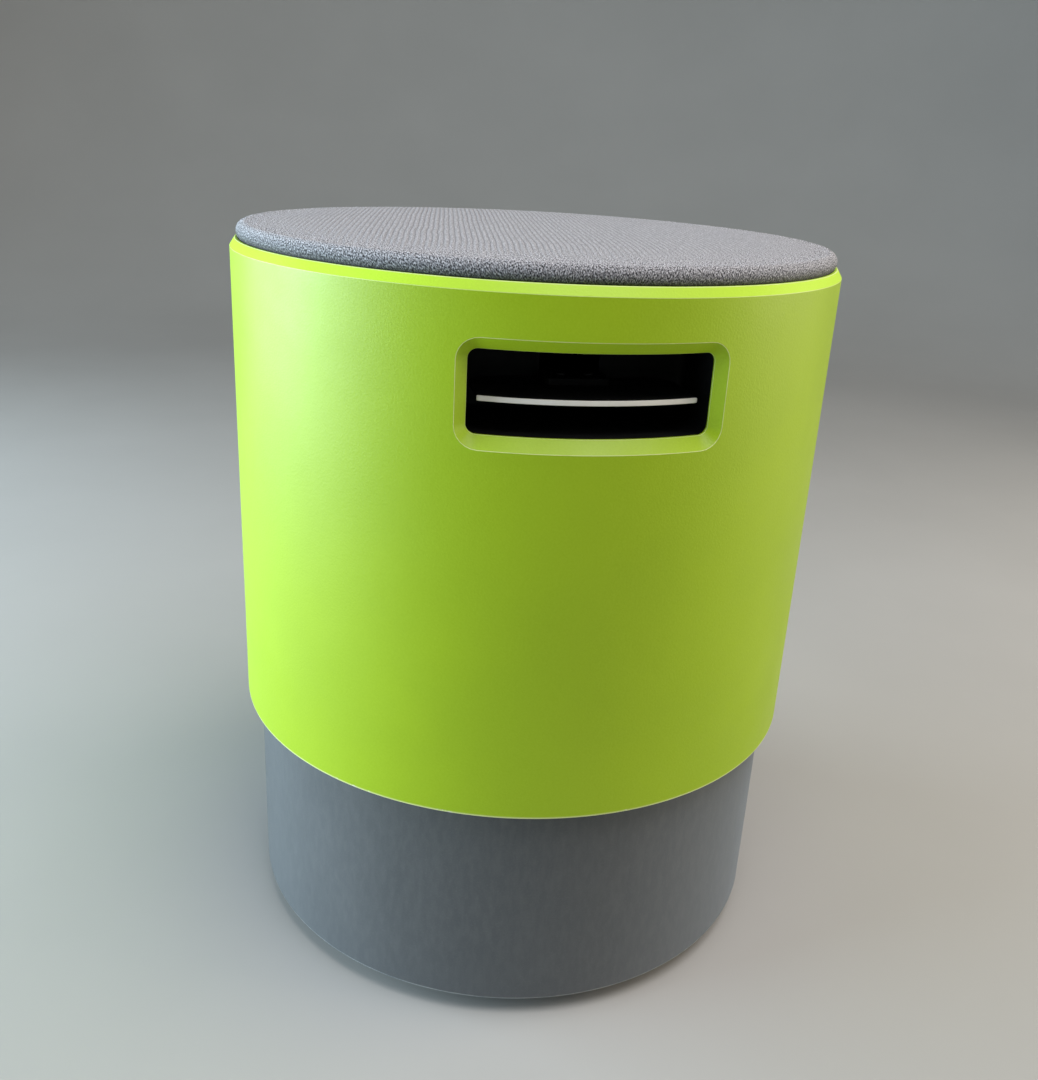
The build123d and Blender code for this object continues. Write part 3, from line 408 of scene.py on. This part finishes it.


def knit():
    """Ribbed knit. The "fabric" attribute holds each point's place on the cloth, and its run."""
    s = Surface("knit", {
        "IOR": 1.45,
        "Specular IOR Level": 0.2,
        "Sheen Weight": 0.15,
        "Sheen Roughness": 0.6,
    })
    cloth = s.node("Attribute", {}, attribute_name="fabric").outputs["Vector"]
    parts = s.node("SeparateXYZ", {0: cloth})
    across, run = parts.outputs["X"], parts.outputs["Z"]
    rib = s.maths("COSINE", s.maths("MULTIPLY", across, math.tau / RIB_PITCH))
    wale = s.maths("COSINE", s.maths("MULTIPLY", across, 3 * math.tau / RIB_PITCH))
    along = s.node("Mapping", {"Vector": cloth, "Scale": (1, 0.11, 0)}).outputs[0]
    strand = s.noise(900, 3, 0.65, along)
    lean = s.node("Mapping", {"Vector": cloth, "Rotation": (0, 0, 0.5), "Scale": (1, 0.6, 0)}).outputs[0]
    pebble = s.noise(1350, 2, 0.6, lean)
    fuzz = s.noise(2400, 2, 0.7)
    ribbed = s.mix(s.spread(rib, -1.0, 0.0), rgb(112, 112, 117), rgb(198, 198, 203))
    ribbed = s.mix(s.spread(wale, -0.2, 1.0, 0.0, 0.5), ribbed, rgb(220, 220, 225))
    ribbed = s.mix(s.spread(strand, 0.4, 0.6, 0.7, 0.0), ribbed, rgb(132, 132, 137))
    pebbled = s.mix(s.spread(pebble, 0.40, 0.60), rgb(58, 58, 63), rgb(230, 230, 236))
    ragged = s.maths("ADD", run, s.spread(s.noise(55, 3), 0.3, 0.7, -RAGGED, RAGGED))
    share = s.spread(ragged, RIBBED_TO, PEBBLED_FROM, 0.35, 1.0)
    color = s.mix(share, ribbed, pebbled)
    # painted shade: a near-black mix down the rolled edge and side
    color = s.mix(s.spread(run, PAINTED_SHADE_FROM, PAINTED_SHADE_TO, 0.0, 0.93), color, rgb(24, 24, 27))
    # painted highlight: pale pebble tips, fading out down the rolled edge
    lit = s.spread(run, TIPS_TO, PAINTED_SHADE_TO, 0.6, 0.0)
    painted_tip_highlight = s.maths("MULTIPLY", s.spread(pebble, 0.58, 0.66), s.maths("MULTIPLY", lit, share))
    color = s.mix(painted_tip_highlight, color, rgb(222, 222, 228))
    rough = s.spread(fuzz, 0.3, 0.7, 0.85, 0.97)
    relief = s.maths("ADD", pebble, s.maths("MULTIPLY", fuzz, 0.4))
    return s.feed(color=color, roughness=rough, normal=s.bump(relief, 0.25 * MM))


# ---------------------------------------------------------------- shell

OPENING_W = 135 * MM
OPENING_H = 46 * MM
OPENING_MIDDLE = pocket_low.z + 25.9 * MM
OPENING_CORNER = 5.5 * MM
BEZEL = 6.8 * MM
COLLAR_R = SHELL_R - 8.8 * MM  # back of the collar round the opening
WALL = 3.5 * MM
LIP_R = SHELL_R - 5.4 * MM
FLANGE_R = 176 * MM
FLANGE_LOW = board_low.z - 4 * MM
CHAMFER = 3.3 * MM  # the rim's, across
LIP_DEPTH = 12.2 * MM  # below the rim, with a slope under it
LIP_SLOPE = 4 * MM
PLAIN_RISE = 20 * MM  # above the lower edge, where the wall's even rows start
OUTER_PATCH = 42 * MM  # the outer rows joined to the opening reach this far from its middle
INNER_PATCH = 38 * MM  # and the inner rows reach this far below it
CELLS_W, CELLS_H = 52, 26  # of the opening's outline
COLUMNS = 360


def wobble(point):
    """Slow unevenness of a large moulding, in metres."""
    return 0.10 * MM * noise.noise(Vector(point) * 14) + 0.04 * MM * noise.noise(Vector(point) * 55)


def uneven(verts, share):
    """Vertices moved in or out by a share of the moulding's unevenness."""
    moved = []
    for v in verts:
        radius = math.hypot(v[0], v[1])
        grown = 1 + share * wobble(v) / radius
        moved.append((v[0] * grown, v[1] * grown, v[2]))
    return moved


def on_drum(x, z, radius):
    return (x, -math.sqrt(radius**2 - x * x), z)


def loop_on_drum(offset, radius):
    """The opening's outline, grown by an offset, on a drum of a radius."""
    outline = ring_outline(
        OPENING_W / 2 + offset, OPENING_H / 2 + offset, OPENING_CORNER + offset, CELLS_W, CELLS_H
    )
    return [on_drum(x, z + OPENING_MIDDLE, radius) for x, z in outline]


def shell_foot(inner_r):
    """The shell's rounded lower edge, from the inner wall to the outer one."""
    low, rise = shell_low.z, 9 * MM
    outline = [(inner_r, low + rise), (inner_r, low), (SHELL_R, low), (SHELL_R, low + rise)]
    return rounded(outline, [0, 0.8 * MM, 1.1 * MM, 0], 6)


def shell_lip(start, inner_r):
    """The rim, the lip inside it and the flange that carries the seat board, from a start on the wall."""
    outline = [
        (SHELL_R, start),
        (SHELL_R, RIM_EDGE),
        (SHELL_R - CHAMFER, RIM_TOP),
        (LIP_R, RIM_TOP),
        (LIP_R, RIM_TOP - LIP_DEPTH),
        (inner_r, RIM_TOP - LIP_DEPTH - LIP_SLOPE),
        (inner_r, board_low.z),
        (FLANGE_R, board_low.z),
        (FLANGE_R, FLANGE_LOW),
        (inner_r, FLANGE_LOW),
    ]
    radii = [0, 0.9 * MM, 0.8 * MM, 0.6 * MM, 1.0 * MM, 1.0 * MM, 0.5 * MM, 0.4 * MM, 0.4 * MM, 0]

    # painted highlight: how much of the pale edge paint each corner gets, full at the rim's top and half at
    # the chamfer's lower edge
    def rim_highlight_share(z):
        if z > RIM_TOP - 2 * MM:
            return 1.0
        return 0.5 if z > RIM_TOP - 8 * MM else 0.0

    return [Vector((r, z, bend * rim_highlight_share(z))) for r, z, bend in rounded(outline, radii, 6)]


def opening_bezel(inner_r):
    """The section of the opening's edge, as (offset out from the opening, radius, bend)."""
    outline = [
        (BEZEL + 1 * MM, SHELL_R),
        (BEZEL, SHELL_R),
        (0, SHELL_R - BEZEL),
        (0, COLLAR_R),
        (4.7 * MM, COLLAR_R),
        (5.4 * MM, inner_r),
        (5.9 * MM, inner_r),
    ]
    return rounded(outline, [0, 0.6 * MM, 0.5 * MM, 0.5 * MM, 0.4 * MM, 0.1 * MM, 0], 5)


def make_shell(material):
    """The drum is turned, with a patch of its outer and inner wall left out and sewn to the opening."""
    inner_r = SHELL_R - WALL
    outer_patch = split(OPENING_MIDDLE - OUTER_PATCH, OPENING_MIDDLE + OUTER_PATCH, CELLS_H)
    inner_patch = split(FLANGE_LOW - 1 * MM, OPENING_MIDDLE - INNER_PATCH, CELLS_H)
    plain_low = shell_low.z + PLAIN_RISE
    rows = [Vector((inner_r, z, 0)) for z in split(inner_patch[-1], plain_low, 20)[1:]]
    rows += shell_foot(inner_r)
    rows += [Vector((SHELL_R, z, 0)) for z in split(plain_low, outer_patch[0], 22)[:-1]]
    first_outer = len(rows)
    rows += [Vector((SHELL_R, z, 0)) for z in outer_patch]
    rows += shell_lip(outer_patch[-1] + 1 * MM, inner_r)
    first_inner = len(rows)
    rows += [Vector((inner_r, z, 0)) for z in inner_patch]

    half = CELLS_W // 2
    verts, _, edge_wear_and_highlight = turned(rows, COLUMNS)

    def index(row, column):
        return row % len(rows) * COLUMNS + column % COLUMNS

    faces = []
    for i in range(len(rows)):
        in_patch = any(first <= i < first + CELLS_H for first in (first_outer, first_inner))
        for j in range(-COLUMNS // 2, COLUMNS // 2):
            if not (in_patch and -half <= j < half):
                faces.append((index(i, j), index(i, j + 1), index(i + 1, j + 1), index(i + 1, j)))

    def edge_of_patch(first, upwards):
        bottom, top = (first, first + CELLS_H) if upwards else (first + CELLS_H, first)
        step = 1 if upwards else -1
        loop = [index(bottom, j) for j in range(-half, half)]
        loop += [index(i, half) for i in range(bottom, top, step)]
        loop += [index(top, j) for j in range(half, -half, -1)]
        loop += [index(i, -half) for i in range(top, bottom, -step)]
        return loop

    def add_loop(points, bend=0.0):
        verts.extend(points)
        edge_wear_and_highlight.extend([bend] * len(points))
        return list(range(len(verts) - len(points), len(verts)))

    bezel = opening_bezel(inner_r)
    outer_edge = edge_of_patch(first_outer, True)
    inner_edge = edge_of_patch(first_inner, False)
    loops = [outer_edge]
    first_loop = loop_on_drum(bezel[0].x, bezel[0].y)
    for step in split(0, 1, 7)[1:-1]:
        spread = [Vector(verts[v]).lerp(Vector(p), step) for v, p in zip(outer_edge, first_loop)]
        loops.append(add_loop([on_drum(p.x, p.z, SHELL_R) for p in spread]))
    # each bezel edge's bend is painted as a pale highlight line
    for offset, radius, bend in bezel:
        loops.append(add_loop(loop_on_drum(offset, radius), bend))
    last_loop = loop_on_drum(bezel[-1].x, bezel[-1].y)
    for step in split(0, 1, 5)[1:-1]:
        spread = [Vector(p).lerp(Vector(verts[v]), step) for v, p in zip(inner_edge, last_loop)]
        loops.append(add_loop([on_drum(p.x, p.z, inner_r) for p in spread]))
    loops.append(inner_edge)
    for first, second in zip(loops, loops[1:]):
        faces += bridge(first, second)

    shell = new_piece("shell_moulding", uneven(verts, 1), faces, "seat", material, edge_wear_and_highlight)
    weigh_normals(shell)
    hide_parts("outer_shell")


# ---------------------------------------------------------------- base drum


def make_base(material):
    floor_low, floor_top = foot_high.z, foot_high.z + 4 * MM
    low, high = base_low.z, base_high.z
    inner_r = BASE_R - WALL
    recess_r = (foot_high.x - foot_low.x) / 2 + 3 * MM
    bore_r = 26 * MM
    section = rounded(
        [
            (bore_r, floor_low),
            (recess_r, floor_low),
            (recess_r, low),
            (BASE_R, low),
            (BASE_R, high),
            (inner_r, high),
            (inner_r, floor_top),
            (bore_r, floor_top),
        ],
        [0, 0.6 * MM, 0.6 * MM, 2.4 * MM, 1 * MM, 1 * MM, 3 * MM, 0],
        6,
        closed=True,
    )
    walled = []
    for here, there in zip(section, section[1:] + section[:1]):
        cells = max(1, round((there - here).xy.length / (12 * MM)))
        walled += [here.lerp(there, k / cells) for k in range(cells)]
    verts, faces, edge_wear_and_highlight = turned(walled, COLUMNS)
    base = new_piece("base_moulding", uneven(verts, 1.3), faces, "base", material, edge_wear_and_highlight)
    weigh_normals(base)
    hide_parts("base_shell")


# ---------------------------------------------------------------- lever pocket and paddle


def make_pocket(material):
    """The black tub behind the opening: one skin, in from its rim, round the arm's slot and back out."""
    out_w, out_h = pocket_high.x, 27 * MM
    middle = pocket_low.z + out_h
    slot_rise = 1 * MM  # of the arm's slot above the tub's middle
    back = pocket_high.y
    front_r = COLLAR_R - 0.2 * MM
    wall = 2 * MM
    in_w, in_h = out_w - wall, out_h - wall

    def tub_loop(half_w, half_h, corner, y=None, rise=0.0):
        points = []
        for x, z in ring_outline(half_w, half_h, corner, CELLS_W, CELLS_H):
            points.append(on_drum(x, z + middle, front_r) if y is None else (x, y, z + middle + rise))
        return points

    def between(first, last, share):
        return [tuple(Vector(a).lerp(Vector(b), share)) for a, b in zip(first, last)]

    inner_back = back - wall
    round_r = 5 * MM
    front_in = tub_loop(in_w, in_h, 6 * MM)
    wall_end = tub_loop(in_w, in_h, 6 * MM, inner_back - round_r)
    loops = [between(front_in, wall_end, k / 6) for k in range(7)]
    for k in range(1, 6):
        angle = math.pi / 2 * k / 5
        inset = round_r * (1 - math.cos(angle))
        depth = inner_back - round_r * (1 - math.sin(angle))
        loops.append(tub_loop(in_w - inset, in_h - inset, 6 * MM, depth))
    slot = (18 * MM, 12 * MM, 2 * MM)
    slot_in = tub_loop(*slot, inner_back, slot_rise)
    loops += [between(loops[-1], slot_in, k / 4) for k in range(1, 5)]
    loops.append(tub_loop(*slot, back, slot_rise))
    back_out = tub_loop(out_w - 4 * MM, out_h - 4 * MM, 6 * MM, back)
    loops += [between(loops[-1], back_out, k / 4) for k in range(1, 5)]
    loops.append(tub_loop(out_w - 0.6 * MM, out_h - 0.6 * MM, 7 * MM, back - 0.6 * MM))
    loops.append(tub_loop(out_w, out_h, 7 * MM, back - 2 * MM))
    loops.append(tub_loop(out_w, out_h, 7 * MM))
    verts = [p for loop in loops for p in loop]
    count = len(loops[0])
    indices = [list(range(i * count, (i + 1) * count)) for i in range(len(loops))]
    faces = []
    for first, second in zip(indices, indices[1:] + indices[:1]):
        faces += bridge(first, second)
    pocket = new_piece("lever_pocket", verts, faces, "seat", material)
    weigh_normals(pocket)
    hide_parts("handle_pocket")


def plate(outline, low, high, edge, segments=3):
    """A plate with rounded edges, as a bmesh, from its plan outline."""
    work = bmesh.new()
    bottom = [work.verts.new((x, y, low)) for x, y in outline]
    face = work.faces.new(bottom)
    made = bmesh.ops.extrude_face_region(work, geom=[face])
    moved = [g for g in made["geom"] if isinstance(g, bmesh.types.BMVert)]
    bmesh.ops.translate(work, verts=moved, vec=(0, 0, high - low))
    rims = [e for e in work.edges if abs(e.verts[0].co.z - e.verts[1].co.z) < 1e-9]
    bmesh.ops.bevel(work, geom=rims, offset=edge, segments=segments, profile=0.5, affect="EDGES")
    bmesh.ops.recalc_face_normals(work, faces=work.faces)
    return work


def plate_piece(name, plates, body, material):
    """Plates joined into one piece."""
    mesh = bpy.data.meshes.new(name)
    joined = bmesh.new()
    for work in plates:
        part = bpy.data.meshes.new("part")
        work.to_mesh(part)
        work.free()
        joined.from_mesh(part)
        bpy.data.meshes.remove(part)
    joined.to_mesh(mesh)
    joined.free()
    piece = riding(name, mesh, body, material)
    weigh_normals(piece)
    return piece


def front_arc(radius, half_w, cells):
    """Points on an arc about the stool's axis, from left to right."""
    reach = math.asin(half_w / radius)
    return [(radius * math.sin(a), -radius * math.cos(a)) for a in split(-reach, reach, cells)]


def make_paddle(black, satin):
    """The finger plate with the boss that its arm is riveted to, and the strip along its front."""
    strip_r = -strip_low.y
    half_w = strip_high.x
    low, high = strip_low.z, strip_high.z
    joint_r = strip_r - 1.2 * MM
    front = front_arc(joint_r, half_w, 40)
    back = paddle_high.y - 1 * MM
    side = [front[-1], (half_w, back), (-half_w, back), front[0]]
    corners = rounded(side, [0, 12 * MM, 12 * MM, 0], 6)
    outline = front[:-1] + [tuple(p.xy) for p in corners[:-1]]
    boss_w, boss_back = 19 * MM, paddle_high.y
    boss_front = boss_back - 22 * MM
    boss = [(-boss_w, boss_front), (boss_w, boss_front), (boss_w, boss_back), (-boss_w, boss_back)]
    boss_outline = [tuple(p.xy) for p in rounded(boss, [3 * MM] * 4, 4, closed=True)]
    plates = [
        plate(outline, low, high, 0.5 * MM),
        plate(boss_outline, low + 1 * MM, paddle_high.z, 1.0 * MM),
    ]
    paddle = plate_piece("paddle_plate", plates, "lever", black)
    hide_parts("lever_paddle")
    strip_w = half_w + 0.3 * MM
    band = front_arc(strip_r, strip_w, 48) + front_arc(joint_r + 0.02 * MM, strip_w, 48)[::-1]
    strip = plate_piece("paddle_strip", [plate(band, low, high, 0.5 * MM)], "lever", satin)
    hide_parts("paddle_edge")


# ---------------------------------------------------------------- pad

EDGE_R = 6 * MM  # the pad's rolled edge
EDGE_MIDDLE_R = PAD_R - EDGE_R
EDGE_Z = RIM_TOP + 4 * MM
EDGE_FIRST = math.radians(87.7)  # where the top runs into the rolled edge
EDGE_LAST = math.radians(-68.5)  # where the edge tucks into the side
PAD_SIDE_R = EDGE_MIDDLE_R + EDGE_R * math.cos(EDGE_LAST)
TOP_R = EDGE_MIDDLE_R + EDGE_R * math.cos(EDGE_FIRST)
TOP_EDGE_Z = EDGE_Z + EDGE_R * math.sin(EDGE_FIRST)
COVER_T = 1.5 * MM
SKIN_GAP = 0.3 * MM  # between the foam and the inside of its cover
LINING_SHARE = 0.985  # of the top that the cover's flat inside spans
SWELL = 2.0 * MM
FOAM_EDGE_R = EDGE_R - COVER_T - SKIN_GAP
RIB_TURN = math.radians(-6)
PEBBLE_FROM, PEBBLE_TO = TOP_R - 24 * MM, TOP_R - 4 * MM  # where the ribs fade into pebbles


def crown(r):
    """Height of the foam's top before it swells."""
    rise = cover_high.z - TOP_EDGE_Z - SWELL
    return TOP_EDGE_Z - COVER_T + rise * (1 - (r / TOP_R) ** 2)


def make_foam(material):
    """A crowned foam disc, swollen by cloth pressure and held at its rim."""
    low = board_high.z + 0.3 * MM
    section = [Vector((r, crown(r), 0)) for r in split(0.5 * MM, TOP_R - 3 * MM, 24)]
    for angle in split(math.radians(70), math.radians(-60), 6):
        r = EDGE_MIDDLE_R + FOAM_EDGE_R * math.cos(angle)
        section.append(Vector((r, EDGE_Z + FOAM_EDGE_R * math.sin(angle), 0)))
    section += [Vector((EDGE_MIDDLE_R, low, 0)), Vector((0.5 * MM, low, 0))]
    verts, faces, _ = turned(section, 96)
    foam = new_piece("pad_foam", verts, faces, "seat", material)
    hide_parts("seat_foam")
    bpy.context.view_layer.objects.active = foam
    remesh = foam.modifiers.new("remesh", "REMESH")
    remesh.mode, remesh.voxel_size = "VOXEL", 4 * MM
    bpy.ops.object.modifier_apply(modifier="remesh")
    free_r = EDGE_MIDDLE_R - 5 * MM
    held_at = [v.index for v in foam.data.vertices if v.co.z < EDGE_Z or v.co.xy.length > free_r]
    held = foam.vertex_groups.new(name="held")
    held.add(held_at, 1.0, "REPLACE")
    start = [v.co.copy() for v in foam.data.vertices]
    cloth = foam.modifiers.new("cloth", "CLOTH")
    cloth.settings.use_pressure = True
    cloth.settings.uniform_pressure_force = 4.0
    cloth.settings.vertex_group_mass = "held"
    cloth.settings.tension_stiffness = 20
    cloth.settings.compression_stiffness = 20
    cloth.settings.bending_stiffness = 2
    cloth.settings.effector_weights.gravity = 0
    frames = 20
    cloth.point_cache.frame_start, cloth.point_cache.frame_end = 1, frames
    for step in range(1, frames + 1):
        bpy.context.scene.frame_set(step)
    bpy.ops.object.modifier_apply(modifier="cloth")
    bpy.context.scene.frame_set(1)
    for v, was in zip(foam.data.vertices, start):
        moved = v.co - was
        if moved.length > SWELL:
            v.co = was + moved.normalized() * SWELL
        off = min(abs(v.co.z - EDGE_Z), FOAM_EDGE_R)
        reach = EDGE_MIDDLE_R + math.sqrt(FOAM_EDGE_R**2 - off**2)
        if v.co.xy.length > reach:
            v.co.xy *= reach / v.co.xy.length
    finer = foam.modifiers.new("finer", "SUBSURF")
    finer.levels = 1
    bpy.ops.object.modifier_apply(modifier="finer")
    return foam


def foam_height(foam):
    """A function that gives the foam's smoothed height at a place, up to its rolled edge."""
    tree = BVHTree.FromObject(foam, bpy.context.evaluated_depsgraph_get())
    step = 6 * MM
    reach = round(TOP_R / step) + 2
    grid = {}
    for i in range(-reach, reach + 1):
        for j in range(-reach, reach + 1):
            r = math.hypot(i, j) * step
            share = min(1.0, (EDGE_MIDDLE_R - 3 * MM) / r) if r else 1.0
            x, y = i * step * share, j * step * share
            hit = tree.ray_cast(Vector((x, y, 1.0)), Vector((0, 0, -1)))[0]
            grid[i, j] = hit.z if hit else crown(r)

    def height(x, y):
        i, j = math.floor(x / step), math.floor(y / step)
        u, v = x / step - i, y / step - j
        u, v = u * u * (3 - 2 * u), v * v * (3 - 2 * v)
        near = grid[i, j] * (1 - u) + grid[i + 1, j] * u
        far = grid[i, j + 1] * (1 - u) + grid[i + 1, j + 1] * u
        return near * (1 - v) + far * v

    return height


def knit_relief(spot, run):
    """How far the knit stands out at a place on the cloth, run being its distance from the middle."""
    fade = min(1.0, max(0.0, (PEBBLE_TO - run) / (PEBBLE_TO - PEBBLE_FROM)))
    ribs = math.cos(math.tau * spot.x / RIB_PITCH) * (0.8 + 0.6 * noise.noise(spot * 45))
    leaning = Vector((spot.x + 0.35 * spot.y, 0.75 * spot.y, 0))
    pebbles = noise.noise(leaning * 700) + 0.5 * noise.noise(leaning * 1300)
    return 0.13 * MM * ribs * fade + 0.32 * MM * pebbles * (1 - 0.7 * fade)


def edge_rows(hem):
    """Rows down the cover's rolled edge and side, as (angle, radius, drop from the top, run of cloth)."""
    rows = []
    for angle in split(EDGE_FIRST, EDGE_LAST, 24)[1:]:
        radius = EDGE_MIDDLE_R + EDGE_R * math.cos(angle)
        drop = EDGE_R * (math.sin(EDGE_FIRST) - math.sin(angle))
        rows.append((angle, radius, drop, EDGE_R * (EDGE_FIRST - angle)))
    tuck_drop, tuck_run = rows[-1][2:]
    for depth in split(0, TOP_EDGE_Z - tuck_drop - hem, 5)[1:]:
        rows.append((0.0, PAD_SIDE_R, tuck_drop + depth, tuck_run + depth))
    return rows


def lining_rows(hem):
    """The (radius, height) rows of the cover's inside, from its hem up round the rolled edge."""
    side_r, curl_r = PAD_SIDE_R - COVER_T, EDGE_R - COVER_T
    rows = [(side_r, hem), (side_r, EDGE_Z - EDGE_R)]
    for angle in split(math.radians(-60), math.radians(80), 4):
        rows.append((EDGE_MIDDLE_R + curl_r * math.cos(angle), EDGE_Z + curl_r * math.sin(angle)))
    return rows


def places_along(chord):
    """Places along a rib from one end of its chord to the other, closer together near the rim."""
    band = min(20 * MM, 0.4 * chord)
    rim_rows = split(0, band, 26)
    places = [y - chord for y in rim_rows]
    places += split(band - chord, chord - band, 48)[1:-1]
    return places + [chord - y for y in rim_rows[::-1]]


def make_cover(foam, material):
    """The knit cover, closed round its own thickness. Its columns of vertices follow the ribs."""
    columns = 1080
    height = foam_height(foam)
    turn = Matrix.Rotation(RIB_TURN, 3, "Z")
    hem = cover_low.z
    outside = edge_rows(hem)
    inside = lining_rows(hem)
    verts, fabric = [], []

    def add(place, spot, run, normal=None):
        """A vertex at a place, for a spot of the cloth. The knit stands out along the normal."""
        worked = Vector((spot[0] + 0.7 * MM * noise.noise(Vector((*spot, 0)) * 28), spot[1], 0))
        lift = knit_relief(worked, run) if normal else 0.0
        point = Vector(place) + Vector(normal or (0, 0, 0)) * lift
        verts.append(turn @ point)
        fabric.extend((worked.x, worked.y, run))

    def foam_top(x, y):
        spot = turn @ Vector((x, y, 0))
        return height(spot.x, spot.y)

    def edge(sine, cosine, end):
        """The outside of one end of a column, from the top down."""
        rim = foam_top(TOP_R * sine, end * TOP_R * cosine) + COVER_T
        rows = []
        for angle, radius, drop, edge_run in outside:
            z, run = max(hem, rim - drop), TOP_R + edge_run
            normal = (math.cos(angle) * sine, end * math.cos(angle) * cosine, math.sin(angle))
            visible = z > RIM_TOP - 4 * MM
            place = (radius * sine, end * radius * cosine, z)
            rows.append((place, (run * sine, end * run * cosine), run, normal if visible else None))
        return rows

    for i in range(columns + 1):
        theta = math.pi * (i / columns - 0.5)
        sine, cosine = math.sin(theta), max(0.0, math.cos(theta))
        x, chord = TOP_R * sine, TOP_R * cosine
        for row in reversed(edge(sine, cosine, -1)):
            add(*row)
        for y in places_along(chord):
            add((x, y, foam_top(x, y) + COVER_T), (x, y), math.hypot(x, y), (0, 0, 1))
        for row in edge(sine, cosine, 1):
            add(*row)
        # the inside, from the back hem over to the front hem
        for radius, z in inside:
            add((radius * sine, radius * cosine, z), (x, chord), PEBBLE_TO)
        for share in split(LINING_SHARE, -LINING_SHARE, 10):
            place = Vector((LINING_SHARE * x, share * chord, 0))
            place.z = foam_top(place.x, place.y) + SKIN_GAP
            add(place, (x, place.y), PEBBLE_TO)
        for radius, z in reversed(inside):
            add((radius * sine, -radius * cosine, z), (x, -chord), PEBBLE_TO)

    rows = len(verts) // (columns + 1)
    faces = []
    for i in range(columns):
        for k in range(rows):
            here, above = i * rows + k, i * rows + (k + 1) % rows
            faces.append((here, here + rows, above + rows, above))
    cover = new_piece("knit_cover", verts, faces, "seat", material, fabric=fabric)
    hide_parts("seat_cover")


# ---------------------------------------------------------------- carried-over CAD pieces


def dress_frame(materials):
    """Gives every CAD node the material of its record slot."""
    slots = {part["node"]: part["material_slot"] for part in frame["record"]["subparts"]}
    for node, piece in frame["nodes"].items():
        for holder in piece.material_slots:
            holder.material = materials[slots[node]]


# ---------------------------------------------------------------- stage


def make_backdrop():
    """A pale floor that curves up into a wall all round."""
    s = Surface("backdrop", {"IOR": 1.45, "Specular IOR Level": 0.1})
    color = s.mix(s.spread(s.noise(3, 4), 0.3, 0.7), rgb(180, 179, 176), rgb(184, 183, 180))
    rough = s.spread(s.noise(40, 3), 0.3, 0.7, 0.8, 0.9)
    material = s.feed(color=color, roughness=rough)
    hub_r, flat_r, cove_r, top = 0.02, 2.2, 1.6, 4.6
    path = [(hub_r, 0)] + [(r, 0) for r in split(0, flat_r, 8)[1:]]
    for angle in split(0, math.pi / 2, 14)[1:]:
        path.append((flat_r + cove_r * math.sin(angle), cove_r * (1 - math.cos(angle))))
    path.append((flat_r + cove_r, top))
    columns = 96
    verts, _, _ = turned([Vector((r, z, 0)) for r, z in path], columns)
    rings = [list(range(i * columns, (i + 1) * columns)) for i in range(len(path))]
    faces = [tuple(rings[0])]
    for inner, outer in zip(rings, rings[1:]):
        faces += bridge(inner, outer)
    mesh = bpy.data.meshes.new("backdrop")
    mesh.from_pydata(verts, [], faces)
    mesh.shade_smooth()
    backdrop = bpy.data.objects.new("backdrop", mesh)
    backdrop.location.z = -0.2 * MM
    bpy.context.scene.collection.objects.link(backdrop)
    mesh.materials.append(material)


def area_light(name, round_by, distance, height, size, power, color):
    """A flat light aimed at the stool, round_by degrees from the lever opening. Size is width, height."""
    data = bpy.data.lights.new(name, "AREA")
    data.shape = "RECTANGLE"
    data.size, data.size_y = size
    data.energy = power
    data.color = color
    light = bpy.data.objects.new(name, data)
    angle = math.radians(round_by)
    light.location = (distance * math.sin(angle), -distance * math.cos(angle), height)
    aim = Vector((0, 0, 0.3)) - light.location
    light.rotation_euler = aim.to_track_quat("-Z", "Y").to_euler()
    light.visible_camera = False
    bpy.context.scene.collection.objects.link(light)


def make_lights():
    world = bpy.data.worlds.new("room")
    bpy.context.scene.world = world
    world.use_nodes = True
    background = world.node_tree.nodes["Background"]
    background.inputs["Color"].default_value = (0.85, 0.87, 0.9, 1)
    background.inputs["Strength"].default_value = 0.25
    area_light("window", -95, 1.9, 0.47, (1.8, 0.85), 71, (0.69, 0.88, 1.0))
    area_light("room_right", 82, 1.9, 0.75, (1.3, 0.9), 22, (1.0, 0.88, 0.72))
    area_light("ceiling", 24, 0.8, 2.3, (1.3, 1.3), 31, (1.0, 0.97, 0.98))
    view = bpy.context.scene.view_settings
    view.view_transform = "Standard"
    view.look = "None"


# ---------------------------------------------------------------- scene

make_camera()
make_lights()
make_backdrop()

green = green_plastic()
grey = grey_plastic()
black = black_plastic()
satin = strip_metal()
knitted = knit()
black_metal = black_paint()
materials = {
    "foot_rubber": rubber(),
    "base_grey": grey,
    "plate_steel": metal("plate_steel", rgb(112, 112, 114), rgb(138, 138, 140), 0.42),
    "zinc_steel": metal("zinc", rgb(150, 150, 146), rgb(186, 186, 182), 0.28),
    "black_steel": black_metal,
    "nylon": nylon(),
    "bearing_steel": metal("bearing_steel", rgb(180, 180, 182), rgb(206, 206, 208), 0.12),
    "chrome_steel": metal("chrome_steel", rgb(186, 187, 190), rgb(214, 215, 218), 0.08, (1, 1, 0.1)),
    "alloy": metal("alloy", rgb(160, 161, 164), rgb(190, 191, 194), 0.32),
    "shell_green": green,
    "liner_black": black,
    "plywood": plywood(),
    "pad_foam": foam_rubber(),
    "cover_knit": knitted,
    "paddle_black": black,
    "edge_satin": satin,
}
dress_frame(materials)
make_shell(green)
make_base(grey)
make_pocket(black)
make_paddle(black, satin)
make_cover(make_foam(materials["pad_foam"]), knitted)
